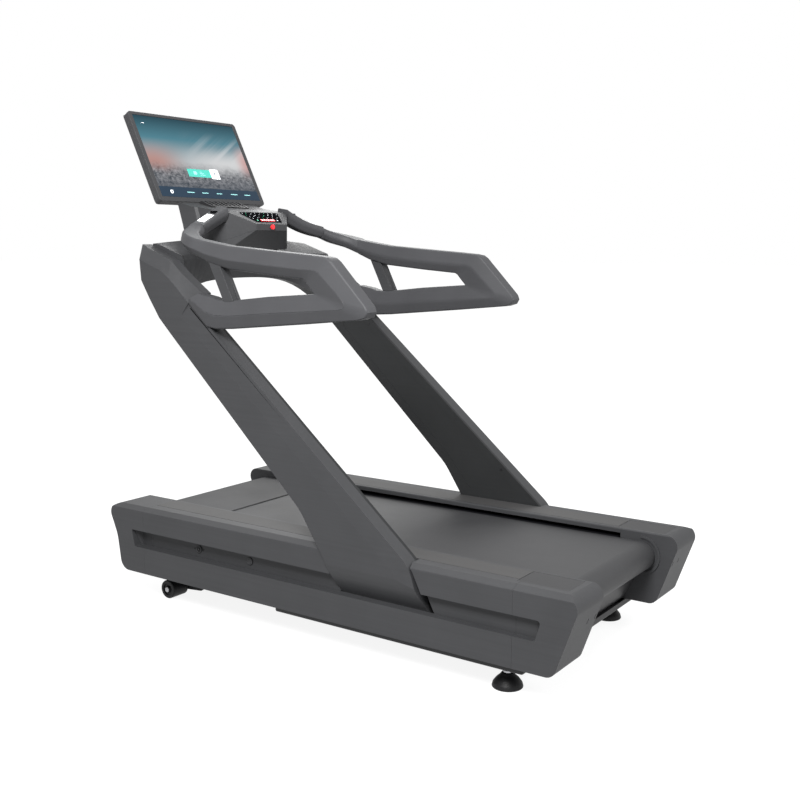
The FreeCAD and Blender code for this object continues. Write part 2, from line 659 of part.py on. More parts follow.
# ---------------------------------------------------------------- lift and feet
def make_lift():
    """Write the lift arm with its wheels, and the lift motor with its screw."""
    py, pz = ARM_PIVOT
    wy, wz = WHEEL_AT
    pieces = [cut(cyl_x(19.0, -268.0, 268.0, py, pz), cyl_x(14.0, -250.0, 250.0, py, pz))]
    pieces.append(cyl_x(10.0, -302.0, -267.0, py, pz))
    pieces.append(cyl_x(10.0, 267.0, 302.0, py, pz))
    leg = side_prism([
        (py - 20, pz + 4, 8.0),
        (py - 6, pz - 20, 14.0),
        (wy - 6, wz - 12, 8.0),
        (wy + 14, wz + 2, 8.0),
        (wy - 2, wz + 18, 8.0),
        (py + 8, pz + 20, 14.0),
    ], 246.0, 258.0)
    pieces.extend(both(leg))
    bracket = side_prism([
        (wy + 16, wz, 12.0),
        (wy - 4, wz - 16, 10.0),
        (wy - 96, wz - 8, 10.0),
        (wy - 150, wz + 40, 14.0),
        (wy - 120, wz + 54, 10.0),
        (wy, wz + 20, 14.0),
    ], 304.0, 312.0)
    pieces.extend(both(bracket))
    pieces.extend(both(cyl_x(9.0, 250.0, WHEEL_OUT - 4, wy, wz)))
    pieces.append(cut(cyl_x(10.0, -250.0, 250.0, wy, wz + 2), cyl_x(7.0, -240.0, 240.0, wy, wz + 2)))
    lever = side_prism([
        (py - 10, pz - 16, 6.0),
        (py + 16, pz - 16, 6.0),
        (py + 14, pz + 62, 10.0),
        (py - 12, pz + 62, 10.0),
    ], 14.0, 20.0)
    for s in (lever, lever.mirror(V(0, 0, 0), V(1, 0, 0))):
        pieces.append(s)
    arm = join(pieces)
    arm = cut(arm, cyl_x(7.0, -30.0, 30.0, py + 1, pz + 48))
    save("lift_arm", arm)

    tread = cyl_x(WHEEL_R, WHEEL_IN, WHEEL_OUT, wy, wz)
    tread = soften(tread, 4.0, lambda e: len(e.Vertexes) == 1)
    tread = cut(tread, cyl_x(9.0 + RUN_FIT, WHEEL_IN - 1, WHEEL_OUT + 1, wy, wz))
    tread = cut(tread, cyl_x(22.0, WHEEL_OUT - 4, WHEEL_OUT + 1, wy, wz))
    cap = cone(14.0, 11.0, (WHEEL_OUT - 4, wy, wz), (WHEEL_OUT + 3, wy, wz))
    save_pair("lift_wheel", tread.fuse(cap))

    motor = box(-34.0, 34.0, 706.0, 797.0, 96.0, 128.0)
    tube = cyl(17.0, (0.0, 706.0, 112.0), (0.0, 596.0, 146.0))
    rear_eye = cut(cyl_x(12.0, -14.0, 14.0, 812.0, 112.0), cyl_x(6.05, -20.0, 20.0, 812.0, 112.0))
    neck = box(-12.0, 12.0, 794.0, 804.0, 104.0, 120.0)
    screw_bore = cyl(10.1, (0.0, 748.0, 99.0), (0.0, 560.0, 157.1))
    save("lift_motor", cut(join([motor, tube, rear_eye, neck]), screw_bore))
    rod = cyl(10.0, (0.0, 716.0, 108.9), (0.0, 486.0, 180.0))
    rod = cut(rod, box(-20, 20, 440.0, 492.0, 150.0, 200.0))
    eye = cyl_x(11.0, -9.0, 9.0, py + 1, pz + 48)
    rod = join([rod, eye, cyl(9.0, (0.0, 500.0, 175.6), (0.0, py + 8, pz + 48))])
    rod = cut(rod, cyl_x(7.5, -12.0, 12.0, py + 1, pz + 48))
    save("lift_screw", rod)
    pin = cyl_x(5.5, -24.0, 24.0, py + 1, pz + 48)
    heads = both(cyl_x(9.5, 21.0, 24.0, py + 1, pz + 48))
    save("lift_pin", join([pin] + heads))


def make_feet():
    """Write the levelling feet, their studs, and the brackets they screw into."""
    foot_profile = [
        (0.0, 0.0), (FOOT_R - 2, 0.0), (FOOT_R, 3.0), (FOOT_R - 3, 14.0), (FOOT_R - 12, 26.0),
        (24.0, 36.0), (18.0, 44.0), (9.0, 45.0), (0.0, 45.0),
    ]
    wire = Part.makePolygon([V(r, 0, z) for r, z in foot_profile] + [V(0, 0, 0)])
    dome = Part.Face(wire).revolve(V(0, 0, 0), V(0, 0, 1), 360)
    stud = join([cyl(8.0, (0, 0, 20.0), (0, 0, 152.0)), cyl(13.0, (0, 0, 45.0), (0, 0, 50.0))])
    dome = cut(dome, stud)
    place = V(FOOT_X, FOOT_Y, 0)
    for shape in (dome, stud):
        shape.translate(place)
    save_pair("foot_pad", dome)
    save_pair("foot_stud", stud)
    plate = box(TUBE_OUT, 386.0, FOOT_Y - 34, FOOT_Y + 34, 130.0, 140.0)
    nut = cyl(14.0, (FOOT_X, FOOT_Y, 116.0), (FOOT_X, FOOT_Y, 130.0))
    bracket = cut(plate.fuse(nut), cyl(8.0 + RUN_FIT, (FOOT_X, FOOT_Y, 100.0), (FOOT_X, FOOT_Y, 150.0)))
    save("foot_brackets", *both(bracket))


# ---------------------------------------------------------------- uprights and head
def crest_low():
    """Return the head's side outline where it meets the outer face, from front to back."""
    return [(585.0, 985.0), (640.0, 1038.0), (686.0, 1104.0), (724.0, 1165.0), (730.0, 1236.0),
            (678.0, 1217.0), (628.0, 1200.0), (588.0, 1174.0), (544.0, 1136.0), (498.0, 1094.0)]


def crest_high():
    """Return the head's side outline at the top of its side chamfer, point for point."""
    return [(585.0, 985.0), (640.0, 1038.0), (686.0, 1104.0), (727.0, 1165.0), (742.0, 1288.0),
            (706.0, 1272.0), (652.0, 1252.0), (604.0, 1233.0), (556.0, 1192.0), (458.0, 1125.0)]


def beam_section(x):
    """Return the crossbeam's section at x: front and rear, top and bottom."""
    t = abs(x) / UP_IN
    low = 1163.0 - 96.0 * t ** 5 - 26.0 * t ** 2
    front = 727.0 - 0.62 * max(0.0, 1165.0 - low)
    top = 1309.0 - 19.0 * t ** 2
    back = 46.0 * t ** 8
    return [
        (x, 742.0, top - 14.0), (x, 734.0, top), (x, 716.0, top + 1.0), (x, 640.0 - back, 1262.0 - 12 * t),
        (x, 632.0 - back, 1246.0 - 12 * t), (x, front - 40.0 - back, low),
        (x, front - 8.0, low), (x, 730.0, 1180.0),
    ]


def make_head():
    """Write the uprights' covers and steel, the head cover and the struts' seats."""
    low, high = crest_low(), crest_high()
    block = loft([
        [(UP_OUT, y, z) for y, z in low],
        [(UP_MID, y, z) for y, z in high],
    ])
    inner = loft([
        [(UP_MID, y, z) for y, z in high],
        [(UP_IN, y, z) for y, z in high],
    ])
    side = block.fuse(inner)
    stations = [-399.0 + 399.0 * k / 12 for k in range(25)]
    beam = loft([beam_section(x) for x in stations])
    head = join([beam, side, mirrored(side)])
    head = cut(head, upright_block(), mirrored(upright_block()))
    for shape in arm_shapes():
        head = cut(head, shape, mirrored(shape))

    spine = []
    post_at = ((-300.0, 176.0), (560.0, 1098.0))
    run = V(0, post_at[1][0] - post_at[0][0], post_at[1][1] - post_at[0][1])
    post = Part.makeBox(28.0, 96.0, run.Length, V(-14.0, -48.0, 0))
    core = Part.makeBox(22.0, 90.0, run.Length + 2, V(-11.0, -45.0, -1))
    post = post.cut(core)
    post.rotate(V(0, 0, 0), V(1, 0, 0), -math.degrees(math.atan2(run.y, run.z)))
    post.translate(V(427.0, post_at[0][0], post_at[0][1]))
    post = cut(post, box(400, 470, -600, 0, 60.0, 262.0))
    foot = box(411.0, 416.0, -400.0, -165.0, 142.5, 310.0)
    flange = box(TUBE_OUT + 1, 416.0, -400.0, -165.0, 142.5, 149.5)
    spine.extend(both(join([post, foot, flange])))
    elbow = side_prism(sharp([
        (540.0, 1080.0), (640.0, 1080.0), (690.0, 1130.0), (708.0, 1192.0),
        (708.0, 1226.0), (640.0, 1226.0), (540.0, 1150.0),
    ]), 413.0, 441.0)
    spine.extend(both(elbow))
    spine.append(box(-441.0, 441.0, 668.0, 708.0, 1192.0, 1232.0))
    for s in (-1, 1):
        spine.append(box(s * 110 - 20, s * 110 + 20, 690.0, 722.0, 1228.0, 1408.0))
    steel = join(spine)
    save("upright_frame", steel)
    head = cut(head, steel)
    save("head_cover", largest(head))
    return steel


def make_uprights(steel):
    """Write the uprights' outer shells, inner liners and cover screws."""
    block = upright_block()
    hollow = side_prism([
        (-440.0, 150.0, 0),
        (-381.0, 330.0, 120.0),
        (492.0, 1078.0, 0),
        (568.0, 978.0, 0),
        (12.0, 455.0, 220.0),
        (-92.0, 300.0, 160.0),
        (-142.0, 150.0, 0),
    ], UP_IN + 12, UP_OUT - 4.0)
    foot_room = box(UP_IN - 5, UP_OUT, -470, -100, 100.0, 330.0)
    hollow = cut(hollow, foot_room).fuse(side_prism([
        (-440.0, 140.0, 0), (-381.0, 330.5, 0), (-85.0, 330.5, 0), (-142.0, 140.0, 0),
    ], UP_IN + 12, SLOT_FLOOR - 12))
    outside = block.common(box(UP_IN + 12, UP_OUT, -700, 700, 100, 1200))
    shell = cut(outside, hollow, steel, arm_shapes()[0])
    save_pair("upright_shell", largest(shell))

    liner = block.common(box(UP_IN, UP_IN + 12 - 0.3, -700, 700, 100, 1200))
    room = side_prism([
        (-430.0, 150.0, 0),
        (-371.0, 324.0, 120.0),
        (484.0, 1062.0, 0),
        (556.0, 972.0, 0),
        (4.0, 462.0, 220.0),
        (-98.0, 300.0, 160.0),
        (-150.0, 150.0, 0),
    ], UP_IN + 3, UP_IN + 13)
    panel = side_prism([
        (-300.0, 372.0, 20.0),
        (470.0, 1034.0, 14.0),
        (520.0, 966.0, 14.0),
        (20.0, 500.0, 60.0),
        (-90.0, 372.0, 30.0),
    ], UP_IN - 1, UP_IN + 1.2)
    screws = []
    seats = []
    for count, start, end, inward in ((4, (-394.0, 338.0), (498.0, 1094.0), (0.647, -0.763)),
                                      (3, (24.0, 455.0), (585.0, 985.0), (-0.687, 0.727))):
        for k in range(count):
            share = (k + 0.8) / (count + 0.4)
            y, z = [p + share * (q - p) + SCREW_INSET * n for p, q, n in zip(start, end, inward)]
            screws.append(cyl_x(4.6, UP_IN - 0.8, UP_IN + 9.0, y, z))
            seats.append(cyl_x(4.8, UP_IN - 1.0, UP_IN + 9.2, y, z))
    liner = cut(liner, room, panel, *seats)
    save("upright_liners", *both(largest(cut(liner, steel))))
    group = []
    for screw in screws:
        group.extend(both(screw))
    save("cover_screws", *group)


# ---------------------------------------------------------------- handles
def arm_stations():
    """Return the side handle's stations: x shift, outer point and window point (y, z), crease share."""
    return [
        ((455.0, 1306.5), (455.0, 1249.5), 0.56),
        ((404.0, 1298.0), (404.0, 1229.0), 0.58),
        ((312.0, 1284.0), (312.0, 1208.0), 0.59),
        ((150.0, 1271.0), (150.0, 1193.0), 0.59),
        ((0.0, 1260.0), (4.0, 1182.0), 0.59),
        ((-76.0, 1253.5), (-6.0, 1176.0), 0.52),
        ((-100.0, 1249.0), (-12.0, 1169.0), 0.48),
        ((-116.0, 1238.0), (-18.0, 1162.0), 0.44),
        ((-180.0, 1172.0), (-25.0, 1155.0), 0.40),
        ((-243.0, 1106.0), (-32.0, 1148.0), 0.36),
        ((-249.0, 1090.0), (-37.0, 1143.0), 0.36),
        ((-240.0, 1074.0), (-40.0, 1139.5), 0.37),
        ((-215.0, 1066.0), (-36.0, 1138.5), 0.39),
        ((-20.0, 1046.0), (-10.0, 1137.0), 0.42),
        ((150.0, 1030.0), (150.0, 1125.0), 0.44),
        ((300.0, 1016.0), (312.0, 1107.5), 0.46),
        ((372.0, 1012.0), (366.0, 1108.0), 0.48),
        ((414.0, 1018.0), (398.0, 1117.5), 0.50),
        ((498.0, 1094.0), (456.0, 1127.0), 0.50),
    ]


def arm_section(outer, window, share, wall=0.0):
    """Return one six-sided section of the side handle, moved in by wall."""
    span = math.dist(outer, window)
    toward = [(w - o) / span for o, w in zip(outer, window)]
    oy, oz = [o + wall * t for o, t in zip(outer, toward)]
    wy, wz = [w - wall * t for w, t in zip(window, toward)]
    cy = oy + (wy - oy) * share
    cz = oz + (wz - oz) * share
    return [
        (ARM_IN + 12 + wall, oy, oz), (ARM_OUT - 14 - wall, oy, oz), (ARM_OUT - wall, cy, cz),
        (ARM_OUT - 20 - wall, wy, wz), (ARM_IN + 14 + wall, wy, wz), (ARM_IN + wall, cy, cz),
    ]


def bend_stations():
    """Return the arm's turn inwards: middle x and y, top, thickness and half width."""
    return [
        (BAR_END_X, bar_middle(BAR_END_X), bar_height(BAR_END_X), 45.6, 29.5),
        (366.0, 566.0, 1344.0, 47.0, 31.0),
        (400.0, 545.0, 1333.0, 48.0, 33.5),
        (424.0, 518.0, 1324.0, 50.0, 36.0),
        (438.0, 488.0, 1315.0, 53.0, 38.0),
    ]


def bend_section(index):
    """Return one section of the arm's turn, square to its path."""
    stations = bend_stations()
    x, y, top, thick, half = stations[index]
    path = [s[:2] for s in stations] + [(445.5, 455.0)]
    before, after = path[max(index - 1, 0)], path[index + 1]
    run = math.dist(before, after)
    out_x = -(after[1] - before[1]) / run
    out_y = (after[0] - before[0]) / run
    if index == 0:
        out_x, out_y = 0.0, 1.0
    low = top - thick
    mid = top - 0.55 * thick

    def at(out, z):
        return (x + out_x * out, y + out_y * out, z)
    return [
        at(-half + 7, top - BAR_TILT), at(half - 7, top + BAR_TILT), at(half, mid),
        at(half - 16, low), at(-half + 14, low), at(-half, mid),
    ]


def arm_shapes():
    """Return the right handle loop and its strut."""
    turn = [bend_section(k) for k in range(len(bend_stations()))]
    arm = [arm_section(*s) for s in arm_stations()]
    first = loft(turn + arm[:1])
    second = loft(arm)
    core = loft([arm_section(*s, 4.0) for s in arm_stations()[1:-1]])
    loop = first.fuse(second).removeSplitter()
    strut = side_prism(sharp([
        (405.0, 1240.0), (361.0, 1240.0), (292.0, 1100.0), (336.0, 1100.0),
    ]), 426.0, 466.0)
    strut = cut(strut, side_prism(sharp([
        (360.0, 1250.0), (346.0, 1250.0), (272.0, 1095.0), (296.0, 1095.0),
    ]), 438.0, 454.0))
    strut = cut(strut, loop)
    return cut(loop, core), strut


def bar_height(x):
    """Return the height of the front bar's top at x."""
    t = (x - 190.0) / 170.0
    return 1411.0 - 58.0 * t - 6.0 * math.sin(math.pi * t)


def bar_middle(x):
    """Return the front bar's middle plane at x."""
    return 623.0 - 40.0 * ((x - BAR_START_X) / (BAR_END_X - BAR_START_X)) ** 2


def bar_section(x):
    """Return the front bar's section at x."""
    top = bar_height(x)
    low = top - 45.0 - 0.05 * (BAR_END_X - x)
    y = bar_middle(x)
    half = 29.5
    return [
        (x, y - half + 3, top - BAR_TILT), (x, y + half - 3, top + BAR_TILT), (x, y + half, (top + low) / 2),
        (x, y + half - 12, low), (x, y - half + 12, low), (x, y - half, (top + low) / 2),
    ]


def make_handles(steel):
    """Write the handles, struts, front bars, pulse plates and quick keys."""
    loop, strut = arm_shapes()
    save_pair("side_handle", largest(cut(loop, steel)))
    save("handle_struts", *both(largest(strut)))
    span = BAR_END_X - 0.5 - BAR_START_X
    bar = loft([bar_section(BAR_START_X + span * k / 6) for k in range(7)])
    plates = []
    for ends in ((234.0, 268.0), (272.0, 306.0)):
        outline = []
        for x in ends:
            y, z = bar_middle(x), bar_height(x)
            near, far = z + 1.2 - 0.65 * BAR_TILT, z + 1.2 + 0.65 * BAR_TILT
            outline.append([(x, y - 17, z - 8), (x, y - 17, near), (x, y + 17, far), (x, y + 17, z - 8)])
        plates.append(loft(outline))
    key_x, key_top = 213.0, bar_height(213.0) + 5.0
    key_y = bar_middle(key_x)
    key = box(key_x - 9, key_x + 9, key_y - 10, key_y + 10, key_top - 11, key_top)
    well = box(key_x - 9.3, key_x + 9.3, key_y - 10.3, key_y + 10.3, key_top - 14, key_top + 30)
    save_pair("front_bar", largest(cut(bar, well, *plates)))
    group = []
    for plate in plates:
        group.extend(both(plate))
    save("pulse_plates", *group)
    key = soften(key, 2.0, lambda e: e.BoundBox.ZMin > key_top - 0.1)
    save_pair("quick_key", key)


# ---------------------------------------------------------------- console, neck and screen
def console_plan(inset=0.0):
    """Return the console's plan outline, narrow at the runner's side."""
    i = inset
    return [
        (-84.0 + i, 535.0 + i, 12.0), (84.0 - i, 535.0 + i, 12.0), (164.0 - i, 606.0 + i * 0.4, 10.0),
        (189.5 - i, 650.0, 10.0), (189.5 - i, 745.0 - i, 0), (-189.5 + i, 745.0 - i, 0),
        (-189.5 + i, 650.0, 10.0), (-164.0 + i, 606.0 + i * 0.4, 10.0),
    ]


def console_roof(drop=0.0):
    """Return the console's side profile below its sloping top, lowered by drop."""
    return sharp([
        (500.0, 1000.0), (500.0, 1340.0 - drop), (541.0, 1365.0 - drop), (609.0, 1406.0 - drop),
        (746.0, 1424.0 - drop), (800.0, 1426.0 - drop), (800.0, 1000.0),
    ])


def seam_profile(lift):
    """Return the side profile below the seam between console body and base."""
    return sharp([
        (500.0, 1000.0), (500.0, 1340.0 + lift), (541.0, 1338.0 + lift), (606.0, 1304.0 + lift),
        (660.0, 1290.0 + lift), (800.0, 1286.0 + lift), (800.0, 1000.0),
    ])


def make_console():
    """Write the console body and base, the keypad, the stop bar and the stop button."""
    outer = plan_prism(console_plan(), 1240.0, 1440.0)
    roof = side_prism(console_roof(), -200.0, 200.0)
    above = cut(outer.common(roof), side_prism(seam_profile(0.0), -201.0, 201.0))
    inner = plan_prism([(x, y, 0) for x, y, r in console_plan(4.0)], 1200.0, 1440.0)
    cave = inner.common(side_prism(console_roof(4.0), -200.0, 200.0))
    tilt = math.atan2(41.0, 67.0)

    def on_slope(u, v, w):
        """Map keypad coordinates (across, up the slope, out) to the row frame."""
        return V(u, 541.0 + v * math.cos(tilt) - w * math.sin(tilt),
                 1365.0 + v * math.sin(tilt) + w * math.cos(tilt))

    def slab(corners, low, high):
        wire = rounded_wire(corners, lambda p: on_slope(p.x, p.y, low))
        return Part.Face(wire).extrude(on_slope(0, 0, high) - on_slope(0, 0, low))

    pad_shape = [(-69.0, 6.0, 6.0), (69.0, 6.0, 6.0), (108.0, 74.0, 8.0), (-108.0, 74.0, 8.0)]
    pad = slab(pad_shape, -3.0, 0.8)
    bar_shape = [(-38.0, 12.0, 3.0), (38.0, 12.0, 3.0), (38.0, 23.0, 3.0), (-38.0, 23.0, 3.0)]
    bar_well = [(-38.4, 11.6, 3.0), (38.4, 11.6, 3.0), (38.4, 23.4, 3.0), (-38.4, 23.4, 3.0)]
    well = slab(bar_well, -10.0, 5.0)
    base_top = slab(pad_shape, -3.0, 5.0)
    button = cyl(9.0, (0.0, 528.0, 1351.0), (0.0, 541.5, 1351.0))
    button = soften(button, 2.0, lambda e: e.BoundBox.YMax < 529.0)
    button_well = cyl(9.35, (0.0, 520.0, 1351.0), (0.0, 545.0, 1351.0))
    collar = cut(cyl(13.0, (0.0, 533.2, 1351.0), (0.0, 536.0, 1351.0)), button_well)
    body = cut(above, cave, base_top, well, button_well)
    body = largest(body).fuse(collar.cut(above).common(box(-20, 20, 533.0, 535.5, 1330, 1370)))
    body = largest(body)

    below = outer.common(side_prism(seam_profile(-GAP), -201.0, 201.0))
    taper = loft([
        [(-200.0, 604.0, 1268.0), (200.0, 604.0, 1268.0), (200.0, 745.0, 1268.0), (-200.0, 745.0, 1268.0)],
        [(-200.0, 530.0, 1345.0), (200.0, 530.0, 1345.0), (200.0, 745.0, 1345.0), (-200.0, 745.0, 1345.0)],
    ])
    flank = loft([
        [(190.0, y, z), (260.0, y, z), (260.0, y, z - 100.0), (90.0, y, z - 100.0)]
        for y, z in ((500.0, 1342.0), (541.0, 1337.0), (606.0, 1303.0), (660.0, 1289.0), (800.0, 1285.0))
    ])
    taper = cut(taper, flank, mirrored(flank))
    base = cut(below.common(taper), MADE["head_cover"], MADE["upright_frame"])
    hollow_base = taper.copy()
    hollow_base.scale(0.93, V(0, 680.0, 1360.0))
    base = cut(base, hollow_base.common(inner).common(box(-300, 300, 500, 800, 1284.0, 1400)))
    clear = [MADE["upright_frame"], MADE["front_bar_left"], MADE["front_bar_right"],
             MADE["quick_key_left"], MADE["quick_key_right"], MADE["pulse_plates"]]
    save("console_body", largest(cut(body, MADE["head_cover"], *clear)))
    save("console_base", largest(cut(base, *clear)))
    save("keypad_panel", cut(pad, well))
    save("stop_bar", soften(slab(bar_shape, -6.0, 2.6), 1.0, lambda e: e.BoundBox.ZMin > 1371.5))
    save("stop_button", button)


def screen_point(across, up, out):
    """Map screen coordinates (across, up the face, towards the runner) to the row frame."""
    dy = SCREEN_HIGH[0] - SCREEN_LOW[0]
    dz = SCREEN_HIGH[1] - SCREEN_LOW[1]
    length = math.hypot(dy, dz)
    uy, uz = dy / length, dz / length
    return V(across, SCREEN_LOW[0] + up * uy - out * uz, SCREEN_LOW[1] + up * uz + out * uy)


def screen_slab(corners, low, high):
    """Return a plate parallel to the screen, between two depths."""
    wire = rounded_wire(corners, lambda p: screen_point(p.x, p.y, low))
    return Part.Face(wire).extrude(screen_point(0, 0, high) - screen_point(0, 0, low))


def screen_rect(half, low, high, radius):
    """Return the corners of a rectangle on the screen's face."""
    return [(-half, low, radius), (half, low, radius), (half, high, radius), (-half, high, radius)]


def make_screen():
    """Write the neck, its vent grille, and the screen's housing, bezel and glass."""
    tall = math.hypot(SCREEN_HIGH[0] - SCREEN_LOW[0], SCREEN_HIGH[1] - SCREEN_LOW[1])
    bezel = screen_slab(screen_rect(SCREEN_HALF, 0.0, tall, 14.0), -14.0, 0.0)
    opening = screen_slab(screen_rect(SCREEN_HALF - GLASS_MARGIN, 19.0, tall - 13.0, 3.0), -15.0, 1.0)
    glass_seat = screen_slab(screen_rect(SCREEN_HALF - 8, 10.0, tall - 6.0, 6.0), -15.0, -4.0)
    bezel = soften(bezel, 2.0, lambda e: e.Length > 300 and e.BoundBox.YMin < 981)
    glass = screen_slab(screen_rect(SCREEN_HALF - 8.4, 10.4, tall - 6.4, 6.0), -12.0, -4.0)
    lip = screen_slab(screen_rect(SCREEN_HALF - GLASS_MARGIN - 0.3, 19.3, tall - 13.3, 3.0), -4.5, -1.5)
    save("screen_bezel", cut(bezel, opening, glass_seat))
    save("screen_glass", join([glass, lip]))

    def ring(half, low, high, depth):
        return [tuple(screen_point(x, y, depth)) for x, y in
                ((-half, low), (half, low), (half, high), (-half, high))]
    straight = screen_slab(screen_rect(SCREEN_HALF - 1.0, 1.0, tall - 1.0, 13.0), -30.0, -14.3)
    back = loft([
        ring(SCREEN_HALF - 3, 3.0, tall - 3.0, -30.0),
        ring(SCREEN_HALF - 80, 40.0, tall - 60, -62.0),
    ])
    inside = screen_slab(screen_rect(SCREEN_HALF - 6, 6.0, tall - 6.0, 6.0), -28.0, -13.0)
    deep = loft([
        ring(SCREEN_HALF - 12, 10.0, tall - 10.0, -27.0),
        ring(SCREEN_HALF - 88, 46.0, tall - 66, -58.0),
    ])
    housing = cut(straight.fuse(back), inside, deep)
    save("screen_housing", housing)

    def level(z, half, y0, y1, corner=14.0):
        right = [(half - corner, y0), (half, y0 + corner), (half, y1 - corner), (half - corner, y1)]
        row = right + [(-x, y) for x, y in reversed(right)]
        return [(x, y, z) for x, y in row]
    neck = loft([
        level(1296.0, 262.0, 728.0, 742.0, 5.0),
        level(1312.0, 232.0, 712.0, 764.0, 12.0),
        level(1330.0, 206.0, 700.0, 792.0),
        level(1360.0, 200.0, 700.0, 806.0),
        level(1425.0, 198.0, 720.0, 828.0),
        level(1470.0, 190.0, 760.0, 862.0),
    ])
    clear_screen = screen_slab(screen_rect(400.0, -6.0, 400.0, 0), -400.0, 200.0)
    def under_top(drop):
        """Return the space below the neck's top, lowered by drop."""
        return side_prism(sharp([
            (690.0, 1280.0), (690.0, 1416.0 - drop), (746.0, 1424.0 - drop), (812.0, 1440.0 - drop),
            (830.0, 1472.0 - drop), (905.0, 1472.0 - drop), (905.0, 1280.0)]), -300.0, 300.0)
    stub = neck.common(under_top(0.0))
    cave = loft([
        level(1318.0, 196.0, 722.0, 762.0, 6.0),
        level(1360.0, 192.0, 708.0, 796.0, 6.0),
        level(1452.0, 184.0, 752.0, 846.0, 6.0),
    ]).common(under_top(6.0))
    body = cut(stub, clear_screen, cave, MADE["head_cover"], MADE["console_body"], MADE["console_base"])
    vent_seat = side_prism(sharp([
        (738.0, 1427.0), (800.0, 1450.0), (806.0, 1440.0), (746.0, 1417.0)]), -100.0, 100.0)
    body = cut(body, MADE["upright_frame"])
    vent = cut(vent_seat, clear_screen, MADE["console_body"], MADE["upright_frame"])
    slots = []
    for k in range(8):
        x = -84.0 + 24.0 * k
        slots.append(box(x - 7, x + 7, 748.0, 796.0, 1400.0, 1470.0))
    body = cut(body, vent_seat)
    save("neck_cover", largest(body))
    save("vent_grille", largest(cut(vent, *slots)))


MADE = {}
make_skirts()
make_frame()
make_rollers()
make_hood()
make_drive()
make_lift()
make_feet()
STEEL = make_head()
make_uprights(STEEL)
make_handles(STEEL)
make_console()
make_screen()
write_parts()
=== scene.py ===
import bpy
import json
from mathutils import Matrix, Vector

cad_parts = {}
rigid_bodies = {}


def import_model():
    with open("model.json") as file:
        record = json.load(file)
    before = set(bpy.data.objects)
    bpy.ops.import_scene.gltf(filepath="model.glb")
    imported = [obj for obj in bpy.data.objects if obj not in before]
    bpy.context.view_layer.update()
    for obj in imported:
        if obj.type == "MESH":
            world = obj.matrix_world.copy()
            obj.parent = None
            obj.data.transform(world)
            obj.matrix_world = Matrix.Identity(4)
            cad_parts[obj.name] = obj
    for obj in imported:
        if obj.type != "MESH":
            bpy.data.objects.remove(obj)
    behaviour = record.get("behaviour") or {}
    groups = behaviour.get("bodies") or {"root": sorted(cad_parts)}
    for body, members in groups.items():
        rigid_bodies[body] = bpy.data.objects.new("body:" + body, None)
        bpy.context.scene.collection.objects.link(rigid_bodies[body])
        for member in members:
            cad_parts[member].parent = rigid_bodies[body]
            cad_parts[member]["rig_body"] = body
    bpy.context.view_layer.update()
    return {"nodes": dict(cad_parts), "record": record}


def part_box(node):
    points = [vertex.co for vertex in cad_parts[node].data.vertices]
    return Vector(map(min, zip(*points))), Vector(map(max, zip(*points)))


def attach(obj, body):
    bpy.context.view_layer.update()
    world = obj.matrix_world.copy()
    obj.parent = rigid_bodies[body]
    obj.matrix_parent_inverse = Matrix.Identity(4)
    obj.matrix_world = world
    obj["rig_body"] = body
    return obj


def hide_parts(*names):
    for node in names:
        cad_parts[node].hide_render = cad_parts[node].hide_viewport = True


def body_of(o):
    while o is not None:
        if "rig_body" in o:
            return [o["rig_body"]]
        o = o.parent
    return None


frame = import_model()

import bpy
import bmesh
import json
import math
from mathutils import Matrix, Vector

NODES = frame["nodes"]
BODY = body_of(NODES["head_cover"])[0]
SCREEN_BODY = body_of(NODES["screen_glass"])[0]
CONSOLE_BODY = body_of(NODES["keypad_panel"])[0]


# ---------------------------------------------------------------- materials
MIX_FACTOR, MIX_A, MIX_B, MIX_RESULT = 0, 6, 7, 2   # a colour Mix node's sockets
MOTTLE_SCALE = 7.0
STREAK_SCALE = (120.0, 1.2, 120.0)                  # fine across, long along Y
ROUGH_DOWN, ROUGH_UP = 0.05, 0.07                   # how far the roughness wanders
BUMP_DEPTH = 0.0004                                 # m


def shader(name):
    """Return a new material with its node tree and Principled shader."""
    mat = bpy.data.materials.new(name)
    mat.use_nodes = True
    tree = mat.node_tree
    return mat, tree, tree.nodes["Principled BSDF"]


def node(tree, kind, **values):
    """Add a node, set its plain attributes, and its inputs from 'in_Name' keys."""
    n = tree.nodes.new(kind)
    for key, value in values.items():
        if key.startswith("in_"):
            n.inputs[key[3:].replace("_", " ")].default_value = value
        else:
            setattr(n, key, value)
    return n


def link(tree, a, out, b, name):
    """Join one node's output to another's input."""
    tree.links.new(a.outputs[out], b.inputs[name])


def ramp(tree, source, out, low, high, start=0.3, end=0.7):
    """Add a two-colour ramp driven by a value."""
    r = node(tree, "ShaderNodeValToRGB")
    first, last = r.color_ramp.elements[0], r.color_ramp.elements[1]
    first.position, last.position = start, end
    first.color, last.color = (*low, 1), (*high, 1)
    link(tree, source, out, r, "Fac")
    return r


def mixed(tree, a, b, factor, blend="MIX"):
    """Mix two colours; each of the three is a plain value or a socket."""
    m = node(tree, "ShaderNodeMix", data_type="RGBA", blend_type=blend)
    for source, socket in ((factor, MIX_FACTOR), (a, MIX_A), (b, MIX_B)):
        if isinstance(source, tuple):
            m.inputs[socket].default_value = (*source, 1)
        elif isinstance(source, float):
            m.inputs[socket].default_value = source
        else:
            tree.links.new(source, m.inputs[socket])
    return m.outputs[MIX_RESULT]


def scaled(color, k):
    return tuple(c * k for c in color)


